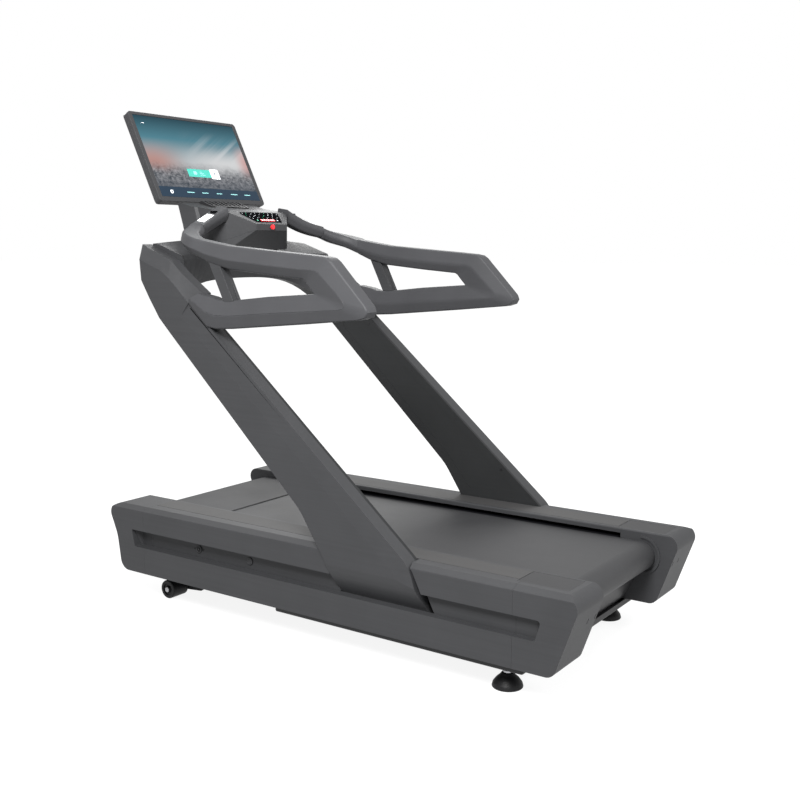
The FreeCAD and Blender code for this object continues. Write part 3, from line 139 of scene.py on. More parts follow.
def moulded(name, color, rough=0.5, vary=0.06, grain=900.0, bump=0.06, streak=0.0, coat=0.0,
            metal=0.0, gloss=0.3):
    """Moulded or coated surface: soft mottling, fine grain, and optional lengthwise streaks."""
    mat, tree, bsdf = shader(name)
    pos = node(tree, "ShaderNodeTexCoord")
    cloud = node(tree, "ShaderNodeTexNoise", in_Scale=MOTTLE_SCALE, in_Detail=4.0,
                 in_Roughness=0.55)
    link(tree, pos, "Object", cloud, "Vector")
    tint = ramp(tree, cloud, "Fac", scaled(color, 1 - vary), scaled(color, 1 + vary))
    shown = tint.outputs["Color"]
    if streak > 0:
        stretch = node(tree, "ShaderNodeMapping", in_Scale=STREAK_SCALE)
        link(tree, pos, "Object", stretch, "Vector")
        lines = node(tree, "ShaderNodeTexNoise", in_Scale=1.0, in_Detail=3.0, in_Roughness=0.6)
        link(tree, stretch, "Vector", lines, "Vector")
        shade = ramp(tree, lines, "Fac", (1 - streak,) * 3, (1 + streak,) * 3)
        shown = mixed(tree, shown, shade.outputs["Color"], 1.0, "MULTIPLY")
    tree.links.new(shown, bsdf.inputs["Base Color"])
    rough_range = node(tree, "ShaderNodeMapRange")
    rough_range.inputs["To Min"].default_value = rough - ROUGH_DOWN
    rough_range.inputs["To Max"].default_value = rough + ROUGH_UP
    link(tree, cloud, "Fac", rough_range, "Value")
    link(tree, rough_range, "Result", bsdf, "Roughness")
    if bump > 0:
        fine = node(tree, "ShaderNodeTexNoise", in_Scale=grain, in_Detail=2.0, in_Roughness=0.6)
        link(tree, pos, "Object", fine, "Vector")
        relief = node(tree, "ShaderNodeBump", in_Strength=bump, in_Distance=BUMP_DEPTH)
        link(tree, fine, "Fac", relief, "Height")
        link(tree, relief, "Normal", bsdf, "Normal")
    bsdf.inputs["Metallic"].default_value = metal
    bsdf.inputs["Coat Weight"].default_value = coat
    bsdf.inputs["Specular IOR Level"].default_value = gloss
    return mat


def glow(name, color, power):
    """Small lit marking: its own light over a glossy face, a little uneven."""
    mat, tree, bsdf = shader(name)
    pos = node(tree, "ShaderNodeTexCoord")
    cloud = node(tree, "ShaderNodeTexNoise", in_Scale=60.0, in_Detail=2.0)
    link(tree, pos, "Object", cloud, "Vector")
    tint = ramp(tree, cloud, "Fac", scaled(color, 0.92), color)
    link(tree, tint, "Color", bsdf, "Base Color")
    link(tree, tint, "Color", bsdf, "Emission Color")
    bsdf.inputs["Emission Strength"].default_value = power
    bsdf.inputs["Roughness"].default_value = 0.25
    bsdf.inputs["Specular IOR Level"].default_value = 0.15
    return mat


MATS = {
    "cover": moulded("cover_plastic", (0.0270, 0.0274, 0.0290), vary=0.05, streak=0.05,
                     gloss=0.16),
    "cover_dark": moulded("dark_plastic", (0.014, 0.014, 0.015), gloss=0.25),
    "frame_paint": moulded("powder_coat", (0.008, 0.008, 0.009), 0.55, grain=600.0, bump=0.15,
                           gloss=0.2),
    "belt": moulded("belt_weave", (0.0185, 0.0187, 0.0198), 0.55, streak=0.06, bump=0.25,
                    grain=500.0),
    "strap": moulded("strap_rubber", (0.008, 0.008, 0.008), 0.6),
    "deck": moulded("deck_coating", (0.004, 0.004, 0.005), 0.6, vary=0.15, streak=0.08,
                    gloss=0.1),
    "steel": moulded("brushed_metal", (0.42, 0.42, 0.44), 0.3, vary=0.03, metal=1.0, streak=0.05),
    "rubber": moulded("black_rubber", (0.004, 0.004, 0.0045), bump=0.15, gloss=0.2),
    "rail": moulded("foot_rail_skin", (0.028, 0.0275, 0.0275), 0.62, streak=0.05, bump=0.25,
                    grain=400.0),
    "grip": moulded("grip_skin", (0.0350, 0.0353, 0.0378), bump=0.12, streak=0.02, gloss=0.16),
    "motor": moulded("motor_paint", (0.012, 0.012, 0.013), 0.4),
    "control": moulded("cast_aluminium", (0.4, 0.4, 0.42), 0.4, metal=1.0),
    "white_plate": moulded("pulse_plate", (0.80, 0.80, 0.80), 0.3, vary=0.02, bump=0.0),
    "black_gloss": moulded("black_panel", (0.003, 0.003, 0.0035), bump=0.0, gloss=0.0),
    "red": moulded("red_gloss", (0.80, 0.015, 0.02), 0.3, bump=0.0, coat=0.3),
    "screen": moulded("screen_border", (0.006, 0.008, 0.010), 0.2, bump=0.0),
}
HUB = moulded("hub_plastic", (0.30, 0.30, 0.31), 0.4)
SLOT_OF = {part["node"]: part["material_slot"] for part in frame["record"]["subparts"]}
OWN_MATERIAL = {
    # Darker copy of the cover colour for the uprights' inner liners: painted shade for inner faces
    # that stand in shadow.
    "upright_liners": moulded("liner_painted_shade", (0.0150, 0.0155, 0.0160), 0.55, vary=0.05,
                              streak=0.04, gloss=0.1),
    "cover_screws": moulded("blackened_steel", (0.02, 0.02, 0.021), 0.35, metal=0.6),
    "screen_bezel": MATS["cover"],
    "motor_hood": moulded("hood_plastic", (0.0190, 0.0193, 0.0205), 0.55, vary=0.05,
                          streak=0.03, gloss=0.2),
}

for name, obj in NODES.items():
    for holder in obj.material_slots:
        holder.material = OWN_MATERIAL.get(name, MATS[SLOT_OF[name]])


# ---------------------------------------------------------------- softened edges of the covers
EDGE = {                # node: width of the rounded edge, in mm
    "skirt_left": 1.6, "skirt_right": 1.6, "front_cap_left": 2.0, "front_cap_right": 2.0,
    "rear_cap_left": 2.0, "rear_cap_right": 2.0, "upright_shell_left": 2.0,
    "upright_shell_right": 2.0, "motor_hood": 2.5, "console_body": 2.5, "console_base": 2.5,
    "neck_cover": 3.0, "screen_housing": 2.0, "screen_bezel": 1.2, "head_cover": 4.0,
    "rear_apron": 1.0, "step_pads": 1.0, "foot_rails": 1.0, "stop_bar": 0.6,
    "quick_key_left": 0.8, "quick_key_right": 0.8, "handle_struts": 1.5, "foot_pad_left": 1.5,
    "foot_pad_right": 1.5,
}
WELD_GAP = 0.00002      # m
FLAT_ANGLE = 0.6        # degrees; faces that meet at less are one flat face
SHARP_ANGLE = 22        # degrees; edges that turn by more are rounded


def soften_edges(obj, width):
    """Round an object's sharp edges without touching its mesh."""
    weld = obj.modifiers.new("weld", "WELD")
    weld.merge_threshold = WELD_GAP
    flat = obj.modifiers.new("flat", "DECIMATE")
    flat.decimate_type = "DISSOLVE"
    flat.angle_limit = math.radians(FLAT_ANGLE)
    bevel = obj.modifiers.new("bevel", "BEVEL")
    bevel.width = width / 1000
    bevel.segments = 3
    bevel.limit_method = "ANGLE"
    bevel.angle_limit = math.radians(SHARP_ANGLE)
    bevel.harden_normals = False
    normals = obj.modifiers.new("normals", "WEIGHTED_NORMAL")
    normals.keep_sharp = True


for name, width in EDGE.items():
    soften_edges(NODES[name], width)


# ---------------------------------------------------------------- mesh helpers
ROW_SHIFT = 33.3102     # mm along Y, from the drawing's origin to the frame's
MERGE_GAP = 0.00001     # m
CORNER_SHARE = 0.48     # the most of an edge that one rounded corner may take


def at(x, y, z):
    """Map a point of the drawing, in mm, into the frame, in metres."""
    return Vector((x / 1000, (y - ROW_SHIFT) / 1000, z / 1000))


def finish_mesh(name, bm, slot, body, smooth=32.0, material=None):
    """Turn a bmesh into a piece that rides on a body; edges under 'smooth' degrees are soft."""
    bmesh.ops.remove_doubles(bm, verts=bm.verts, dist=MERGE_GAP)
    bmesh.ops.recalc_face_normals(bm, faces=bm.faces)
    for edge in bm.edges:
        turn = edge.calc_face_angle(0.0)
        edge.smooth = len(edge.link_faces) == 2 and turn < math.radians(smooth)
    for face in bm.faces:
        face.smooth = True
    mesh = bpy.data.meshes.new(name)
    bm.to_mesh(mesh)
    bm.free()
    mesh.materials.append(material or MATS[slot])
    obj = bpy.data.objects.new(name, mesh)
    bpy.context.collection.objects.link(obj)
    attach(obj, body)
    normals = obj.modifiers.new("normals", "WEIGHTED_NORMAL")
    normals.keep_sharp = True
    return obj


def round_ring(points, radii, steps=4):
    """Round the corners of a closed ring of points with short curves, radii in mm."""
    count = len(points)
    ring = []
    for k, p in enumerate(points):
        before, after = points[k - 1], points[(k + 1) % count]
        r = radii[k % len(radii)] / 1000
        a = p + (before - p) * min(CORNER_SHARE, r / (before - p).length)
        b = p + (after - p) * min(CORNER_SHARE, r / (after - p).length)
        for i in range(steps + 1):
            t = i / steps
            ring.append(a * (1 - t) ** 2 + p * (2 * t * (1 - t)) + b * t * t)
    return ring


def skin(rings):
    """Return a closed bmesh that runs through rings of equal length."""
    bm = bmesh.new()
    rows = [[bm.verts.new(p) for p in ring] for ring in rings]
    for low, high in zip(rows, rows[1:]):
        for k in range(len(low)):
            j = (k + 1) % len(low)
            bm.faces.new((low[k], low[j], high[j], high[k]))
    bm.faces.new(rows[0])
    bm.faces.new(rows[-1])
    return bm


def flip(rings):
    """Mirror rings across the middle plane."""
    return [[Vector((-p.x, p.y, p.z)) for p in ring] for ring in rings]


def circle(radius, sides):
    """Points of a circle round the origin, as pairs."""
    turns = [2 * math.pi * k / sides for k in range(sides)]
    return [(radius * math.cos(a), radius * math.sin(a)) for a in turns]


# ---------------------------------------------------------------- handles and front bars
# All in the drawing's millimetres. A section has six corners: two on top, the widest line on
# each side, and two below. The insets say how far its four flat corners stand in from the sides.
ARM_IN, ARM_OUT = 407.0, 484.0
ARM_INSETS = (12, 14, 20, 14)
ARM_RADII = (7.0, 8.0, 3.0, 7.0, 7.0, 9.0)
BEND_INSETS = (7, 7, 16, 14)
BEND_CREASE = 0.55              # how far down the bend's side its widest line lies
BAR_START_X, BAR_END_X = 165.0, 330.0
BAR_PARTING = 0.5               # the gap between bar and handle
BAR_STEPS = 16
BAR_TOP, BAR_FALL, BAR_SAG = 1411.0, 58.0, 6.0
BAR_FALL_FROM, BAR_FALL_OVER = 190.0, 170.0
BAR_Y, BAR_BOW = 623.0, 40.0
BAR_THICK, BAR_TAPER = 45.0, 0.05
BAR_TILT = 4.0                  # how far the top's edges are below and above its middle
BAR_HALF = 29.5
BAR_INSETS = (3, 3, 12, 12)
BAR_RADII = (7.0, 7.0, 9.0, 7.0, 7.0, 9.0)
# The side handle's sections, from its front end, back, round its rear tip and forwards to the
# upright: outer edge (y, z), window edge (y, z), and the share of the way to the window edge at
# which the widest line lies.
ARM = (
    ((455, 1306.5), (455, 1249.5), 0.56), ((404, 1298), (404, 1229), 0.58),
    ((312, 1284), (312, 1208), 0.59), ((150, 1271), (150, 1193), 0.59),
    ((0, 1260), (4, 1182), 0.59), ((-76, 1253.5), (-6, 1176), 0.52),
    ((-100, 1249), (-12, 1169), 0.48), ((-116, 1238), (-18, 1162), 0.44),
    ((-180, 1172), (-25, 1155), 0.40), ((-243, 1106), (-32, 1148), 0.36),
    ((-249, 1090), (-37, 1143), 0.36), ((-240, 1074), (-40, 1139.5), 0.37),
    ((-215, 1066), (-36, 1138.5), 0.39), ((-20, 1046), (-10, 1137), 0.42),
    ((150, 1030), (150, 1125), 0.44), ((300, 1016), (312, 1107.5), 0.46),
    ((372, 1012), (366, 1108), 0.48), ((414, 1018), (398, 1117.5), 0.50),
    ((497, 1093), (455.5, 1126.5), 0.50),
)
GROOVE_FROM = 9                 # the crease has a seam line from this station to the upright
GROOVE_DEPTH = 1.2
CREASE_POINT = 12               # the middle one of the five points round a section's third corner


def bar_height(x):
    """Height of the front bar's top, which falls outwards with a slight sag."""
    t = (x - BAR_FALL_FROM) / BAR_FALL_OVER
    return BAR_TOP - BAR_FALL * t - BAR_SAG * math.sin(math.pi * t)


def bar_middle(x):
    """Y of the front bar's middle line, which bows rearwards as it goes out."""
    return BAR_Y - BAR_BOW * ((x - BAR_START_X) / (BAR_END_X - BAR_START_X)) ** 2


# The handle's turn inwards, from the bar to the straight arm: x, y, top z, thickness, half width.
BEND = (
    (BAR_END_X, bar_middle(BAR_END_X), bar_height(BAR_END_X), 45.6, BAR_HALF),
    (366.0, 566.0, 1344.0, 47.0, 31.0), (400.0, 545.0, 1333.0, 48.0, 33.5),
    (424.0, 518.0, 1324.0, 50.0, 36.0), (438.0, 488.0, 1315.0, 53.0, 38.0),
)
ARM_START = (445.5, 455.0, 1306.5, 57.0, 38.5)
BEND_PARTS = 3


def blended(rows, parts):
    """Fill in rows of numbers between stations with a smooth curve."""
    filled = []
    for k in range(len(rows) - 1):
        p0, p1, p2 = rows[max(k - 1, 0)], rows[k], rows[k + 1]
        p3 = rows[min(k + 2, len(rows) - 1)]
        for i in range(parts):
            t = i / parts
            filled.append(tuple(
                b + 0.5 * t * (c - a + t * (2 * a - 5 * b + 4 * c - d + t * (3 * (b - c) + d - a)))
                for a, b, c, d in zip(p0, p1, p2, p3)))
    filled.append(rows[-1])
    return filled


def six_sided(place, sides, insets, tops, middle, low, radii):
    """Return one rounded section; place(side, level) maps its own coordinates into the frame."""
    near, far = sides
    corners = [place(near + insets[0], tops[0]), place(far - insets[1], tops[1]),
               place(far, middle), place(far - insets[2], low), place(near + insets[3], low),
               place(near, middle)]
    return round_ring(corners, radii)


def arm_ring(outer, window, share, groove):
    """One section of the side handle; groove is the seam line's depth in its outer crease."""
    crease = tuple(o + (w - o) * share for o, w in zip(outer, window))
    ring = six_sided(lambda x, level: at(x, *level), (ARM_IN, ARM_OUT), ARM_INSETS,
                     (outer, outer), crease, window, ARM_RADII)
    ring[CREASE_POINT] = ring[CREASE_POINT] + Vector((-groove / 1000, 0, 0))
    return ring


def bend_rings():
    """Sections of the handle's turn, from the front bar to the straight upper arm."""
    stations = blended([*BEND, ARM_START], BEND_PARTS)
    rings = []
    for k, (x, y, top, thick, half) in enumerate(stations[:-1]):
        ahead, back = stations[k + 1], stations[max(k - 1, 0)]
        along = Vector((ahead[0] - back[0], ahead[1] - back[1], 0)).normalized()
        out = Vector((-along.y, along.x, 0)) if k else Vector((0, 1, 0))
        centre = at(x, y, 0)
        rings.append(six_sided(
            lambda side, z: centre + out * (side / 1000) + Vector((0, 0, z / 1000)),
            (-half, half), BEND_INSETS, (top - BAR_TILT, top + BAR_TILT),
            top - BEND_CREASE * thick, top - thick, ARM_RADII))
    return rings


def make_handles():
    """Side handles with their turn inwards, each as one smooth moulding."""
    arm = [arm_ring(*station, GROOVE_DEPTH if k >= GROOVE_FROM else 0.0)
           for k, station in enumerate(ARM)]
    rings = bend_rings() + arm
    for side, turned in (("right", rings), ("left", flip(rings))):
        obj = finish_mesh(f"handle_skin_{side}", skin(turned), "grip", BODY, smooth=38.0)
        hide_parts(f"side_handle_{side}")


def make_bars():
    """Front bars from the console to the handles, with a thin parting line before the handle."""
    rings = []
    for k in range(BAR_STEPS + 1):
        x = BAR_START_X + (BAR_END_X - BAR_PARTING - BAR_START_X) * k / BAR_STEPS
        top, y = bar_height(x), bar_middle(x)
        low = top - BAR_THICK - BAR_TAPER * (BAR_END_X - x)
        rings.append(six_sided(
            lambda across, z: at(x, across, z), (y - BAR_HALF, y + BAR_HALF), BAR_INSETS,
            (top - BAR_TILT, top + BAR_TILT), (top + low) / 2, low, BAR_RADII))
    for side, turned in (("right", rings), ("left", flip(rings))):
        obj = finish_mesh(f"bar_skin_{side}", skin(turned), "grip", BODY, smooth=40.0)
        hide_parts(f"front_bar_{side}")


# ---------------------------------------------------------------- screen picture
SCREEN_LOW = Vector((0, 818.5, 1443.0))         # the screen's foot and head, on its front face
SCREEN_HIGH = Vector((0, 980.5, 1771.0))
SCREEN_UP = (SCREEN_HIGH - SCREEN_LOW).normalized()
SCREEN_OUT = Vector((0, -SCREEN_UP.z, SCREEN_UP.y))
SCREEN_TALL = (SCREEN_HIGH - SCREEN_LOW).length
VIEW_HALF = 261.0                               # the picture's half width, foot and head
VIEW_LOW = 20.0
VIEW_HIGH = SCREEN_TALL - 14.0
GLASS_LEVEL = -1.5
# How far the marks' faces stand off the glass, in mm, so that each layer covers the last one.
TILE_BACK, PICTURE, PLATE, BUTTON, ICON, TOP = 0.02, 0.15, 0.35, 0.40, 0.45, 0.5
NAVY, GREEN, WHITE, GREY, PALE = range(5)       # the marks' materials
# The marks: u from, u to, v from, v to, face, corner radius in mm, material.
MARKS = (
    (0.0, 1.0, 0.0, 0.125, PLATE, 0.0, NAVY),               # bar of functions
    (0.335, 0.565, 0.268, 0.368, PLATE, 2.0, GREEN),        # start button
    (0.565, 0.650, 0.256, 0.380, BUTTON, 2.5, WHITE),       # tile beside it
    (0.592, 0.624, 0.286, 0.298, TOP, 0.0, GREY),
    (0.598, 0.618, 0.308, 0.344, TOP, 3.5, GREY),
    (0.392, 0.424, 0.298, 0.340, ICON, 4.0, PALE),          # icon and lines on the button
    *((0.455, 0.505 - 0.012 * k, 0.293 + 0.019 * k, 0.300 + 0.019 * k, ICON, 0.0, PALE)
      for k in range(3)),
    (0.095, 0.12, 0.042, 0.084, ICON, 5.0, WHITE),          # ring at the bar's near end
    (0.100, 0.115, 0.050, 0.076, TOP, 3.5, NAVY),
    *((0.255 + 0.148 * k, 0.255 + 0.148 * k + 0.07 - 0.008 * (k % 3), 0.060, 0.070, ICON, 1.2,
       PALE) for k in range(5)),                            # blank labels along the bar
    (0.060, 0.082, 0.905, 0.912, PLATE, 0.0, WHITE),        # dash at the picture's top
)
# Tints laid over the sky in turn: colour, u where it starts and is full, v likewise.
TINTS = (
    ((0.86, 0.87, 0.88), (0.16, 0.75), (0.70, 0.44)),       # haze over the horizon
    ((0.62, 0.34, 0.30), (0.42, 0.05), (0.74, 0.42)),       # warm light at the near side
    ((0.80, 0.50, 0.48), (0.86, 1.0), (0.80, 0.5)),         # and at the far side
)


def on_screen(u, v, lift):
    """Map a place on the picture (0-1 across, 0-1 up) and a lift in mm into the frame."""
    p = (SCREEN_LOW + SCREEN_UP * (VIEW_LOW + (VIEW_HIGH - VIEW_LOW) * v)
         + SCREEN_OUT * (GLASS_LEVEL + lift))
    return at((2 * u - 1) * VIEW_HALF, p.y, p.z)


def tile(bm, u0, u1, v0, v1, lift, radius=0.0, index=0, steps=5):
    """Add a thin plate on the screen to a bmesh, with rounded corners where radius isn't 0."""
    ru, rv = radius / (2 * VIEW_HALF), radius / (VIEW_HIGH - VIEW_LOW)
    outline = []
    for u, v, start in ((u1 - ru, v1 - rv, 0), (u0 + ru, v1 - rv, 90),
                        (u0 + ru, v0 + rv, 180), (u1 - ru, v0 + rv, 270)):
        for k in range(steps + 1 if radius > 0 else 1):
            a = math.radians(start + 90 * k / steps)
            outline.append((u + ru * math.cos(a), v + rv * math.sin(a)))
    top = [bm.verts.new(on_screen(u, v, lift)) for u, v in outline]
    low = [bm.verts.new(on_screen(u, v, TILE_BACK)) for u, v in outline]
    faces = [bm.faces.new(top), bm.faces.new(low[::-1])]
    for k in range(len(top)):
        j = (k + 1) % len(top)
        faces.append(bm.faces.new((top[k], low[k], low[j], top[j])))
    for face in faces:
        face.material_index = index


def picture_material():
    """A landscape at dusk: blue sky, pale cloud streaks, rough grey ground."""
    mat, tree, bsdf = shader("screen_picture")
    pos = node(tree, "ShaderNodeTexCoord")
    low, high = on_screen(0, 0, 0), on_screen(1, 1, 0)
    wide, tall = high.x - low.x, high.z - low.z
    fit = node(tree, "ShaderNodeMapping", in_Location=(-low.x / wide, 0, -low.z / tall),
               in_Scale=(1 / wide, 0, 1 / tall))
    link(tree, pos, "Object", fit, "Vector")
    split = node(tree, "ShaderNodeSeparateXYZ")
    link(tree, fit, "Vector", split, "Vector")
    u, v = split.outputs["X"], split.outputs["Z"]

    def combined(kind, a, b):
        m = node(tree, "ShaderNodeMath", operation=kind)
        m.use_clamp = kind == "MULTIPLY"
        for k, value in enumerate((a, b)):
            if isinstance(value, float):
                m.inputs[k].default_value = value
            else:
                tree.links.new(value, m.inputs[k])
        return m.outputs[0]

    def smooth(value, start, end):
        r = node(tree, "ShaderNodeMapRange", interpolation_type="SMOOTHSTEP")
        r.inputs["From Min"].default_value = start
        r.inputs["From Max"].default_value = end
        tree.links.new(value, r.inputs["Value"])
        return r.outputs["Result"]

    sky = node(tree, "ShaderNodeValToRGB")
    stops = sky.color_ramp.elements
    stops[0].position, stops[0].color = 0.40, (0.62, 0.66, 0.68, 1)
    stops[1].position, stops[1].color = 1.0, (0.010, 0.070, 0.105, 1)
    middle = stops.new(0.74)
    middle.color = (0.09, 0.28, 0.36, 1)
    tree.links.new(v, sky.inputs["Fac"])

    band = combined("ADD", combined("MULTIPLY", u, 0.75), combined("MULTIPLY", v, 1.0))
    streak_at = node(tree, "ShaderNodeCombineXYZ")
    tree.links.new(combined("MULTIPLY", band, 30.0), streak_at.inputs["X"])
    tree.links.new(combined("SUBTRACT", u, v), streak_at.inputs["Y"])
    wisps = node(tree, "ShaderNodeTexNoise", in_Scale=2.2, in_Detail=5.0, in_Roughness=0.65)
    link(tree, streak_at, "Vector", wisps, "Vector")
    glare = combined("MULTIPLY", smooth(wisps.outputs["Fac"], 0.40, 0.62), smooth(u, 0.34, 0.70))
    glare = combined("MULTIPLY", glare, smooth(v, 0.90, 0.58))
    picture = mixed(tree, sky.outputs["Color"], (0.90, 0.93, 0.95), glare)
    for color, across, up in TINTS:
        cover = combined("MULTIPLY", smooth(u, *across), smooth(v, *up))
        picture = mixed(tree, picture, color, cover)

    rocks = node(tree, "ShaderNodeTexNoise", in_Scale=26.0, in_Detail=8.0, in_Roughness=0.75)
    link(tree, fit, "Vector", rocks, "Vector")
    ground = ramp(tree, rocks, "Fac", (0.035, 0.050, 0.065), (0.52, 0.52, 0.55), 0.38, 0.66)
    ridge = node(tree, "ShaderNodeTexNoise", in_Scale=5.0, in_Detail=5.0)
    link(tree, fit, "Vector", ridge, "Vector")
    line = combined("ADD", v, combined("MULTIPLY", ridge.outputs["Fac"], 0.16))
    picture = mixed(tree, picture, ground.outputs["Color"], smooth(line, 0.56, 0.34))
    low_dark = combined("MULTIPLY", smooth(v, 0.30, 0.10), 0.55)
    picture = mixed(tree, picture, (0.05, 0.07, 0.10), low_dark)

    tree.links.new(picture, bsdf.inputs["Emission Color"])
    bsdf.inputs["Emission Strength"].default_value = 0.66
    tree.links.new(mixed(tree, picture, (0.0, 0.0, 0.0), 0.97), bsdf.inputs["Base Color"])
    bsdf.inputs["Roughness"].default_value = 0.3
    bsdf.inputs["Specular IOR Level"].default_value = 0.12
    return mat


def make_picture():
    """The lit picture, its bar of functions and the start button, all on the glass."""
    bm = bmesh.new()
    tile(bm, 0.0, 1.0, 0.0, 1.0, PICTURE, 2.0)
    finish_mesh("screen_picture", bm, "screen", SCREEN_BODY, material=picture_material())
    bm = bmesh.new()
    for mark in MARKS:
        tile(bm, *mark)
    navy = glow("bar_navy", (0.007, 0.016, 0.028), 0.4)
    obj = finish_mesh("screen_marks", bm, "screen", SCREEN_BODY, material=navy)
    for mat in (glow("start_green", (0.04, 0.27, 0.22), 0.5),
                glow("tile_white", (0.74, 0.76, 0.78), 0.45),
                glow("icon_grey", (0.20, 0.22, 0.24), 0.3),
                glow("icon_pale", (0.20, 0.42, 0.42), 0.4)):
        obj.data.materials.append(mat)


# ---------------------------------------------------------------- keypad marks
PAD_FOOT = (541.0, 1365.0)      # y, z where the keypad's slope starts
PAD_TILT = math.atan2(41.0, 67.0)
PAD_TOP = 0.8                   # how far the keypad's face stands off that slope
# A dome's rings: share of its radius, share of its height, and extra height in mm.
DOME = ((1.0, 0.0, -0.3), (1.0, 0.35, 0.0), (0.72, 0.85, 0.0), (0.3, 1.0, 0.0))
DOME_SIDES = 12
# Rows of touch points: distance up the slope, half width, how many.
PAD_ROWS = ((66.0, 94.0, 9), (54.0, 84.0, 8), (42.0, 76.0, 7), (32.0, 66.0, 6))
PAD_STAGGER = 1.5
SMALL_DOT, LARGE_DOT, DOT_HEIGHT = 1.3, 1.8, 0.4
PAD_KEY = (54.0, 17.5, 3.6, 0.6)        # the two round keys: across, up, radius, height
PAD_WHITE, PAD_GREEN = range(2)         # the marks' materials


def on_pad(u, v, w):
    """Map keypad coordinates (across, up the slope, out), in mm, into the frame."""
    y = PAD_FOOT[0] + v * math.cos(PAD_TILT) - w * math.sin(PAD_TILT)
    z = PAD_FOOT[1] + v * math.sin(PAD_TILT) + w * math.cos(PAD_TILT)
    return at(u, y, z)


def pad_dot(bm, u, v, radius, height, index):
    """Add a low dome on the keypad to a bmesh."""
    rings = [[bm.verts.new(on_pad(u + du, v + dv, PAD_TOP + (rise * height + lift)))
              for du, dv in circle(radius * share, DOME_SIDES)] for share, rise, lift in DOME]
    faces = [bm.faces.new(rings[0][::-1]), bm.faces.new(rings[-1])]
    for low, high in zip(rings, rings[1:]):
        for k in range(DOME_SIDES):
            j = (k + 1) % DOME_SIDES
            faces.append(bm.faces.new((low[k], low[j], high[j], high[k])))
    for face in faces:
        face.material_index = index


def make_pad_marks():
    """Rows of small lit touch points over the keypad, and two round keys below them."""
    bm = bmesh.new()
    for r, (v, half, count) in enumerate(PAD_ROWS):
        for k in range(count):
            pad_dot(bm, -half + 2 * half * k / (count - 1), v + PAD_STAGGER * (1 if k % 2 else -1),
                    SMALL_DOT if (k + r) % 3 else LARGE_DOT, DOT_HEIGHT,
                    PAD_GREEN if (k + r) % 4 == 1 else PAD_WHITE)
    across, up, radius, height = PAD_KEY
    for side, index in ((-1, PAD_GREEN), (1, PAD_WHITE)):
        pad_dot(bm, side * across, up, radius, height, index)
    white = glow("mark_white", (0.5, 0.52, 0.54), 0.2)
    obj = finish_mesh("keypad_marks", bm, "black_gloss", CONSOLE_BODY, material=white)
    obj.data.materials.append(glow("mark_green", (0.03, 0.36, 0.18), 0.3))


# ---------------------------------------------------------------- small fittings
SLOT_WALL = 427.6               # mm from the middle plane to the slot's floor
PORT_AT = (519.0, 231.0)        # y, z of the service port in the near slot
CAP_AT = (279.0, 230.0)         # y, z of the round cap behind it
PIN_SHIFT = 1.0                 # the pin stands a little off the port's middle
CLIP_SHIFT = 20.0
CLIP_SIDES, TURNED_SIDES, CAP_SIDES, HUB_SIDES = 12, 24, 32, 20
# Profiles of the turned pieces: pairs of radius and distance out from the wall, in mm.
PORT_RIM = ((13.0, -1.0), (13.0, 1.4), (11.8, 2.0), (10.4, 2.0), (9.6, 1.0), (9.2, -1.0))
PORT_WELL = ((9.6, 0.2), (9.0, 0.9), (6.0, 0.9), (5.0, 0.3))
PORT_PIN = ((3.2, 0.3), (3.2, 3.2), (2.4, 4.0), (1.0, 4.3))
PORT_CLIP = ((2.0, -0.5), (2.0, 0.8), (1.4, 1.2))
CAP_GROOVE = ((14.6, -0.4), (14.4, 0.35), (12.8, 0.35))
CAP_DISC = ((13.0, -0.5), (13.0, 1.5), (12.0, 2.4), (9.0, 2.6), (8.4, 2.1), (2.0, 2.2))
HUB_CAP = ((9.0, -3.0), (9.0, 0.3), (7.6, 1.0), (3.0, 1.4))
SHIELD_X = (394.5, 397.5)       # the shields' two faces, in mm from the middle plane
SHIELD_OUTLINE = ((-560.0, 216.0), (-60.0, 216.0), (-60.0, 338.0), (-560.0, 338.0))
SHIELD_RADIUS = 8.0
FITTING_SMOOTH = 40.0           # degrees


def disc_rings(centre, profile, sides=TURNED_SIDES):
    """Rings of a turned piece whose axis runs outwards along -X."""
    x, y, z = centre
    return [[at(x - out, y + dy, z + dz) for dy, dz in circle(r, sides)] for r, out in profile]


def turned_piece(name, y, z, profile, slot, material=None, sides=TURNED_SIDES):
    """Make a turned piece on the floor of the near slot."""
    rings = disc_rings((-SLOT_WALL, y, z), profile, sides)
    finish_mesh(name, skin(rings), slot, BODY, FITTING_SMOOTH, material)


def make_slot_details():
    """The service port with its pin and clips, and the round cap, on the slot's floor."""
    black = MATS["rubber"]
    y, z = PORT_AT
    turned_piece("port_rim", y, z, PORT_RIM, "cover")
    turned_piece("port_well", y, z, PORT_WELL, "cover_dark", black)
    turned_piece("port_pin", y - PIN_SHIFT, z + PIN_SHIFT, PORT_PIN, "cover")
    for index, shift in enumerate((-CLIP_SHIFT, CLIP_SHIFT)):
        turned_piece(f"port_clip_{index}", y + shift, z, PORT_CLIP, "cover_dark", black, CLIP_SIDES)
    turned_piece("cap_groove", *CAP_AT, CAP_GROOVE, "cover_dark", black, CAP_SIDES)
    turned_piece("cap_disc", *CAP_AT, CAP_DISC, "cover", None, CAP_SIDES)


def make_shade_shields():
    """Thin dark plates inside the skirts, which close the view past the uprights' feet; their dark
    colour is painted shade for the pockets there.
    """
    for side, sign in (("right", 1), ("left", -1)):
        rings = [round_ring([at(sign * x, y, z) for y, z in SHIELD_OUTLINE], (SHIELD_RADIUS,))
                 for x in SHIELD_X]
        # Dark plastic here is painted shade: the pocket behind each foot stands in shadow.
        finish_mesh(f"foot_shade_shield_{side}", skin(rings), "cover_dark", BODY, FITTING_SMOOTH)


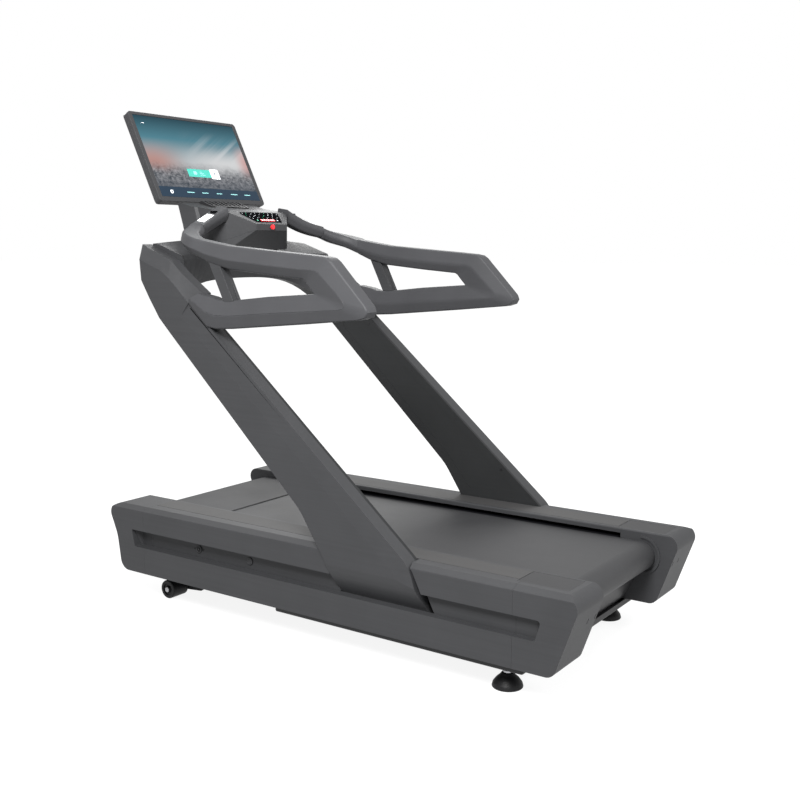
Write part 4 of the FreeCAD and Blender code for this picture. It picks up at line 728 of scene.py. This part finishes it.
def make_hubs():
    """Light hub caps on the lift wheels."""
    for side in ("left", "right"):
        low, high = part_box(f"lift_wheel_{side}")
        y, z = (low.y + high.y) / 2, (low.z + high.z) / 2
        edge = -low.x if side == "left" else high.x
        rings = disc_rings((-edge * 1000, y * 1000 + ROW_SHIFT, z * 1000), HUB_CAP, HUB_SIDES)
        finish_mesh(f"hub_cap_{side}", skin(rings if side == "left" else flip(rings)), "steel",
                    body_of(NODES[f"lift_wheel_{side}"])[0], FITTING_SMOOTH, HUB)


# ---------------------------------------------------------------- floor, light and camera
FLOOR_HALF = 60.0               # m
FLOOR_DROP = 0.0005             # m below the feet, so that the two faces don't flicker
FLOOR_GLOW = 0.88               # brings the floor up to the studio's white
LIGHTS = (                      # name, place, what it points at, size and power
    ("key", (-3.0, -1.4, 3.4), (0, 0, 0.5), 1.5, 400.0),
    ("rear", (0.6, -4.6, 3.4), (0, 0, 0.6), 2.0, 150.0),
    ("rim", (3.2, 3.0, 3.6), (0, 0, 0.8), 2.0, 90.0),
)
CAMERA_AT = (-2.996, -2.1528, 1.296)
CAMERA_FORWARD = (0.8127, 0.5640, -0.1464)
CAMERA_ROLL = 0.12              # degrees
SENSOR_MM, LENS_MM = 36.0, 47.93


def make_stage():
    """White floor and surroundings, and three soft lights."""
    h = FLOOR_HALF
    mesh = bpy.data.meshes.new("floor")
    mesh.from_pydata([(-h, -h, 0), (h, -h, 0), (h, h, 0), (-h, h, 0)], [], [(0, 1, 2, 3)])
    floor = bpy.data.objects.new("floor", mesh)
    bpy.context.collection.objects.link(floor)
    mat = moulded("pale_floor", (0.16, 0.16, 0.16), 0.9, vary=0.004, bump=0.0, gloss=0.0)
    glowing = mat.node_tree.nodes["Principled BSDF"]
    glowing.inputs["Emission Color"].default_value = (1, 1, 1, 1)
    glowing.inputs["Emission Strength"].default_value = FLOOR_GLOW
    mesh.materials.append(mat)
    floor.location.z = -FLOOR_DROP
    world = bpy.data.worlds.new("studio")
    bpy.context.scene.world = world
    world.use_nodes = True
    world.node_tree.nodes["Background"].inputs["Color"].default_value = (1, 1, 1, 1)
    world.node_tree.nodes["Background"].inputs["Strength"].default_value = 1.0
    for name, place, target, size, power in LIGHTS:
        lamp = bpy.data.lights.new(name, "AREA")
        lamp.energy = power
        lamp.size = size
        obj = bpy.data.objects.new(name, lamp)
        bpy.context.collection.objects.link(obj)
        obj.location = place
        aim = Vector(target) - Vector(place)
        obj.rotation_euler = aim.to_track_quat("-Z", "Y").to_euler()


def make_camera():
    """The photograph's camera, as solved from the object's right angles."""
    cam = bpy.data.cameras.new("camera")
    cam.sensor_width = SENSOR_MM
    cam.lens = LENS_MM
    obj = bpy.data.objects.new("camera", cam)
    bpy.context.collection.objects.link(obj)
    forward = Vector(CAMERA_FORWARD).normalized()
    level = forward.cross(Vector((0, 0, 1))).normalized()
    upright = level.cross(forward)
    roll = math.radians(CAMERA_ROLL)
    right = level * math.cos(roll) + upright * math.sin(roll)
    up = upright * math.cos(roll) - level * math.sin(roll)
    turn = Matrix((right, up, -forward)).transposed().to_4x4()
    obj.matrix_world = Matrix.Translation(CAMERA_AT) @ turn
    bpy.context.scene.camera = obj


make_handles()
make_bars()
make_picture()
make_slot_details()
make_shade_shields()
make_hubs()
make_pad_marks()
make_stage()
make_camera()
bpy.context.scene.view_settings.view_transform = "Standard"
